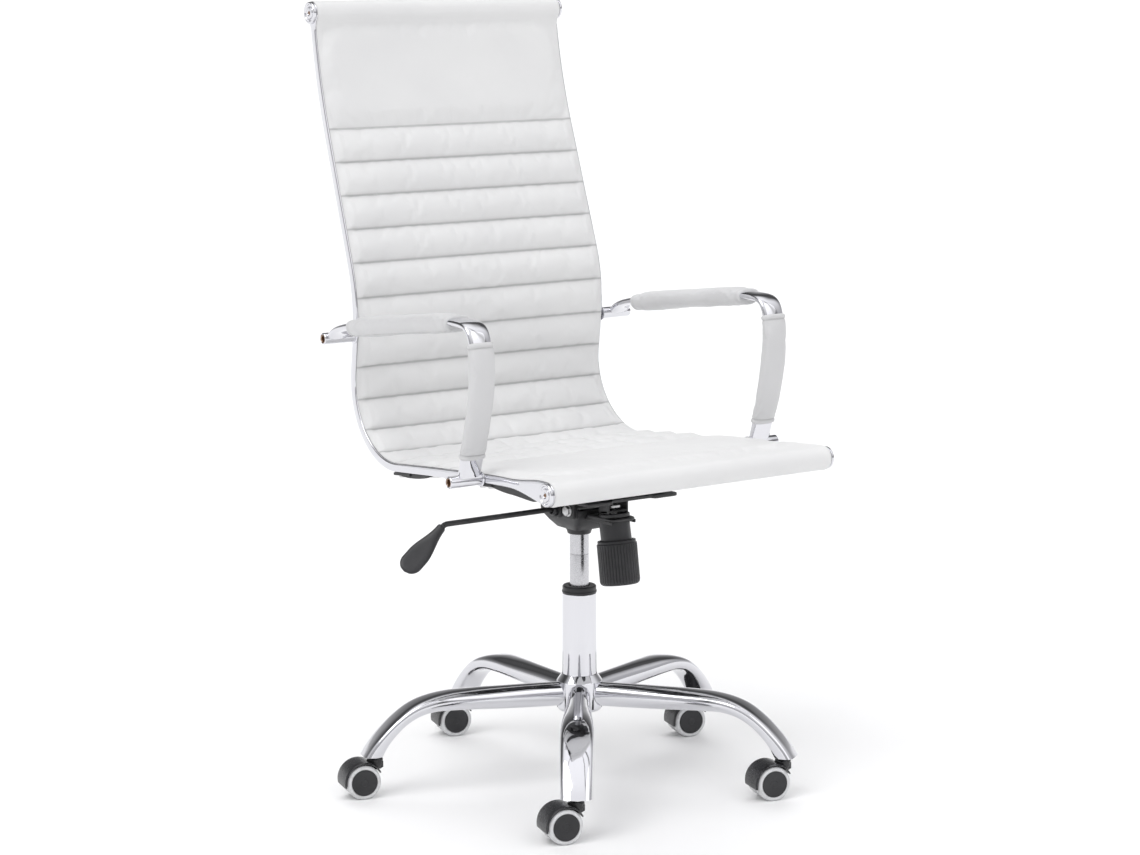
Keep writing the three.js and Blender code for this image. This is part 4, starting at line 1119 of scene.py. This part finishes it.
def sling():
    rows = panel_rows()
    across = np.linspace(-1, 1, COLUMNS)
    across = np.sign(across) * (1 - (1 - np.abs(across)) ** 1.12)
    rings, crease_shade, pins = [], [], []

    def add_row(y, z, out, height, lap, inset, on_seam, pinned):
        """A row of leather: across the face, over the rails' edges if it laps them, in to the side wall."""
        wall = half_over(y) - RAIL_WIDE - 0.6
        edge = half_over(y) - inset if lap else wall
        top = lap or BARE_EDGE
        under = top - LAP_THICK
        ring = []
        for u in across:
            x = u * edge
            from_edge = edge - abs(x)
            held = 1 - float(smooth(4.6, 15, from_edge)) if lap else 1 - float(smooth(0, 9, from_edge)) ** 0.5
            rounded = 1 - math.sqrt(max(0, 1 - (1 - min(from_edge / 1.4, 1)) ** 2))
            ring.append((x, height + (top - height) * held - 0.9 * rounded))
            # painted shade: darker leather along the seam valleys and round the rounded edge where the
            # leather turns
            crease_shade.append(max(on_seam, 0.25 * rounded))
            pins.append(1 if pinned or from_edge < 6 else 0)
        ends = [(wall, under - (0 if lap else 0.6)), (edge, under)]
        ring = [(-x, h) for x, h in ends] + ring + [(x, h) for x, h in reversed(ends)]
        # painted shade on the two side-wall points at each end of the row too
        crease_shade[-COLUMNS:] = [0.25, 0.25, *crease_shade[-COLUMNS:], 0.25, 0.25]
        pins[-COLUMNS:] = [1, 1, *pins[-COLUMNS:], 1, 1]
        rings.append([(x, y + out[0] * h, z + out[1] * h) for x, h in ring])

    def face_row(row, sign):
        s, t, a, b = row
        y, z, heading = outline(s)
        out = (-math.sin(heading) * sign, math.cos(heading) * sign)
        near = min(s, RUN_LENGTH - s)
        lap = rail_half(s) + LAP_ROOM + LAP_THICK
        rolled = max(roll_half(near), rail_half(s) + 1.0 if sign > 0 else 0)
        height = rolled + swell(s, t, a, b) * float(smooth(8, 45, near))
        inset = EDGE_INSET - 1.6 * (1 - float(smooth(4, 30, near)))
        # closeness to a seam, which sets the painted shade in the seam's valley
        on_seam = math.exp(-((to_seam(s) / 1.5) ** 2))
        add_row(y, z, out, height, lap if sign > 0 else 0, inset, on_seam, to_seam(s) < 0.9 or near < 24)

    def tube_rows(tube, heading, count=12):
        y, z = tube[:2]
        lap = RAIL_EYE + LAP_ROOM + LAP_THICK
        for k in range(1, count):
            a = heading + math.pi / 2 - math.pi * k / count
            add_row(y, z, (math.cos(a), math.sin(a)), ROLL_R + 0.4, lap, 0.5, 0, True)

    for row in rows:
        face_row(row, 1)
    tube_rows(TOP_TUBE, TOP_TUBE[2])
    for row in reversed(rows):
        face_row(row, -1)
    tube_rows(FRONT_TUBE, math.radians(START_HEADING) + math.pi)
    verts, faces = skin(np.array(rings), around=False, along=True)
    # the side walls close the loop between a face row and the back row behind it
    count, size, face_count, arc = len(rings), COLUMNS + 4, len(rows), 11
    for k in range(face_count - 1):
        a, b = k, k + 1
        c, d = 2 * face_count + arc - 2 - k, 2 * face_count + arc - 1 - k
        faces.append((a * size, b * size, c * size, d * size))
        last = size - 1
        faces.append((d * size + last, c * size + last, b * size + last, a * size + last))
    top_loop = list(range(face_count - 1, face_count + arc + 1))
    front_loop = list(range(2 * face_count + arc - 1, count)) + [0]
    for loop in (top_loop, front_loop):
        faces.append(tuple(i * size for i in loop))
        faces.append(tuple(i * size + size - 1 for i in reversed(loop)))
    obj = bare("sling_leather", (verts, faces), LEATHER)
    if len(obj.data.vertices) != len(verts):
        raise RuntimeError("the sling's points were merged")
    simulate(obj, pins, 5.0, 0.0045, 20, 0.015)
    pucker(obj, rows, face_count, arc, size)
    add_crease_shade(obj, crease_shade)
    stitch_lines(obj, rows, face_count, arc, size)
    finish_piece(obj, "seat", ["upholstery"], 70, 1)


def pucker(obj, rows, face_count, arc, size):
    """Small gathers that run away from each seam, and slow waves over the plain panels."""
    count = len(obj.data.vertices)
    co = np.zeros(count * 3, np.float32)
    obj.data.vertices.foreach_get("co", co)
    co = co.reshape(-1, 3).astype(float)
    normals = np.zeros(count * 3, np.float32)
    obj.data.vertex_normals.foreach_get("vector", normals)
    normals = normals.reshape(-1, 3)
    for sign, first, step in ((1, 0, 1), (-1, 2 * face_count + arc - 1, -1)):
        for k, (s, *_rest) in enumerate(rows):
            row = first + step * k
            near = min(s, RUN_LENGTH - s)
            gather = 0.9 * math.exp(-((to_seam(s) - 7) / 7.0) ** 2) * float(smooth(10, 40, near))
            wave = 0.9 * float(smooth(10, 40, to_seam(s))) * float(smooth(10, 50, near))
            for i in range(row * size, (row + 1) * size):
                x, y, z = co[i]
                fine = noise.noise(Vector((x * 75, s * 0.018, sign * 7.3)))
                slow = noise.noise(Vector((x * 9, s * 0.009, sign * 3.1 + 20)))
                co[i] += normals[i] * (gather * fine + wave * slow) * MM
    obj.data.vertices.foreach_set("co", co.astype(np.float32).ravel())
    obj.data.update()


def capsule(start, end, radius, sides=6):
    start, end = np.array(start), np.array(end)
    ahead = end - start
    long = np.linalg.norm(ahead)
    ahead = ahead / long
    aside = np.cross(ahead, (0, 0, 1) if abs(ahead[2]) < 0.9 else (0, 1, 0))
    aside /= np.linalg.norm(aside)
    up = np.cross(ahead, aside)
    rings = []
    for at, r in ((0, 0.35), (0.14, 0.9), (0.5, 1.0), (0.86, 0.9), (1, 0.35)):
        middle = start + ahead * long * at
        rings.append([middle + radius * r * (math.cos(a) * aside + math.sin(a) * up)
                      for a in np.linspace(0, 2 * math.pi, sides, endpoint=False)])
    return skin(rings)


def stitch_lines(obj, rows, face_count, arc, size):
    """A lockstitch along every seam, lying in the valley on both sides."""
    inverse = TO_FRAME.inverted()
    pitch, length = 4.6, 3.3
    for sign, label, first, step in ((1, "front", 0, 1), (-1, "back", 2 * face_count + arc - 1, -1)):
        parts = []
        for k, (s, *_rest) in enumerate(rows):
            if to_seam(s) > 0.01:
                continue
            row = first + step * k
            line = np.array([inverse @ obj.data.vertices[row * size + i].co for i in range(size)])
            _, _, heading = outline(s)
            out = np.array([0, -math.sin(heading) * sign, math.cos(heading) * sign])
            width = line[:, 0].max()
            line = line[2:-2]
            for x in np.arange(-width + 16, width - 16, pitch):
                ends = []
                for x_end in (x, x + length):
                    ends.append([x_end, *(np.interp(x_end, line[:, 0], line[:, k]) for k in (1, 2))])
                parts.append(capsule(ends[0] + out * 0.25, ends[1] + out * 0.25, 0.42))
        make(f"sling_stitches_{label}", join(*parts), THREAD, "seat", (), 60)


# ---------------------------------------------------------------- pieces of the frame that stay


def dress_cad():
    looks = {"chrome": CHROME, "leather": LEATHER, "black_plastic": PLASTIC, "black_steel": COAT,
             "wheel": TYRE, "piston_steel": PISTON, "steel": ZINC}
    slots = {p["node"]: p["material_slot"] for p in frame["record"]["subparts"]}
    for name, obj in frame["nodes"].items():
        obj.data.materials.clear()
        obj.data.materials.append(looks[slots[name]])
        obj.data.shade_smooth()
        obj.data.set_sharp_from_angle(angle=math.radians(30))


# ---------------------------------------------------------------- floor, light and camera


def studio():
    floor_mesh = bpy.data.meshes.new("floor")
    edge = 400
    corners = [(-edge, -edge, 0), (edge, -edge, 0), (edge, edge, 0), (-edge, edge, 0)]
    floor_mesh.from_pydata(corners, [], [(0, 1, 2, 3)])
    floor = bpy.data.objects.new("floor", floor_mesh)
    bpy.context.scene.collection.objects.link(floor)
    look = Look("pale_floor", Roughness=0.7)
    look.shader.inputs["Specular IOR Level"].default_value = 0.15
    darker, lighter = (0.92, 0.92, 0.92), (0.94, 0.94, 0.94)
    look.set("Base Color", look.ramp(look.noise(3, 2), [(0.3, darker), (0.7, lighter)]))
    floor_mesh.materials.append(look.material)

    world = bpy.data.worlds.new("studio")
    bpy.context.scene.world = world
    world.use_nodes = True
    tree = world.node_tree
    back = tree.nodes["Background"]

    def node(kind, **settings):
        made = tree.nodes.new(kind)
        for key, value in settings.items():
            setattr(made, key, value)
        return made

    def sky_ramp(source, stops):
        made = node("ShaderNodeValToRGB")
        elements = made.color_ramp.elements
        while len(elements) < len(stops):
            elements.new(1)
        for element, (at, value) in zip(elements, stops):
            element.position = at
            element.color = (value, value, value * 1.01, 1)
        tree.links.new(source, made.inputs["Fac"])
        return made.outputs["Color"]

    def mixed(factor, a, b, kind="MIX"):
        made = node("ShaderNodeMix", data_type="RGBA", blend_type=kind)
        if isinstance(factor, float):
            made.inputs["Factor"].default_value = factor
        else:
            tree.links.new(factor, made.inputs["Factor"])
        tree.links.new(a, made.inputs[6])
        tree.links.new(b, made.inputs[7])
        return made.outputs[2]

    coord = node("ShaderNodeTexCoord").outputs["Generated"]
    split = node("ShaderNodeSeparateXYZ")
    tree.links.new(coord, split.inputs["Vector"])
    height = split.outputs["Z"]
    turn = node("ShaderNodeMath", operation="ARCTAN2")
    tree.links.new(split.outputs["X"], turn.inputs[0])
    tree.links.new(split.outputs["Y"], turn.inputs[1])
    whole = node("ShaderNodeMapRange")
    whole.inputs["From Min"].default_value = -math.pi
    whole.inputs["From Max"].default_value = math.pi
    tree.links.new(turn.outputs[0], whole.inputs["Value"])
    around = whole.outputs["Result"]  # 0 and 1 look along -y, 0.5 along +y, 0.75 along +x
    near = sky_ramp(height, [(0.0, 0.62), (0.10, 0.50), (0.30, 0.55), (0.55, 0.85), (0.80, 1.15), (1.0, 1.3)])
    far = sky_ramp(height, [(0.0, 1.0), (0.10, 1.0), (0.16, 0.5), (0.32, 0.25), (0.55, 0.07), (0.74, 0.12),
                            (0.90, 1.1), (1.0, 1.3)])
    facing = sky_ramp(around, [(0.0, 0.0), (0.30, 0.0), (0.38, 1.0), (0.72, 1.0), (0.80, 0.0), (1.0, 0.0)])
    slits = sky_ramp(around, [(0.0, 1), (0.015, 0.12), (0.03, 1), (0.195, 1), (0.205, 0.15), (0.215, 1),
                              (0.86, 1), (0.885, 0.10), (0.905, 1), (1.0, 1)])
    sky = mixed(facing, mixed(1.0, near, slits, "MULTIPLY"), far)
    tree.links.new(sky, back.inputs["Color"])
    back.inputs["Strength"].default_value = 1.0

    for name, azimuth, elevation, strength, size in (
        ("key", -80, 52, 0.95, 40),
        ("fill", 20, 35, 0.35, 50),
        ("rear", 150, 45, 1.0, 50),
    ):
        light = bpy.data.lights.new(name, "SUN")
        light.energy = strength
        light.angle = math.radians(size)
        lamp = bpy.data.objects.new(name, light)
        a, e = math.radians(azimuth), math.radians(elevation)
        towards = Vector((math.sin(a) * math.cos(e), -math.cos(a) * math.cos(e), math.sin(e)))
        lamp.visible_glossy = name != "rear"
        lamp.rotation_euler = towards.to_track_quat("Z", "Y").to_euler()
        bpy.context.scene.collection.objects.link(lamp)
    bpy.context.scene.view_settings.view_transform = "Standard"


def camera():
    """The viewpoint: in front, to the sitter's right, a little above the seat's height."""
    eye = Vector((-2490.5, -3390.9, 1213.2))
    azimuth, elevation, roll = -36.118, 9.348, 0.124
    focal_share = 2956.3 / 1140
    data = bpy.data.cameras.new("camera")
    data.sensor_width = 36
    data.lens = focal_share * data.sensor_width
    data.clip_end = 200
    obj = bpy.data.objects.new("camera", data)
    bpy.context.scene.collection.objects.link(obj)
    a, e = math.radians(azimuth), math.radians(elevation)
    back = Vector((math.sin(a) * math.cos(e), -math.cos(a) * math.cos(e), math.sin(e)))
    turn = (-back).to_track_quat("-Z", "Y").to_matrix().to_4x4()
    turn = turn @ Matrix.Rotation(math.radians(-roll), 4, "Z")
    obj.matrix_world = Matrix.Translation(TO_FRAME @ eye) @ turn
    bpy.context.scene.camera = obj


camera()
studio()
dress_cad()
base_star()
column()
casters()
housing()
seat_plate()
supports()
knob()
tension_spring()
lever()
rails()
caps()
arm_frames()
wraps()
sling()
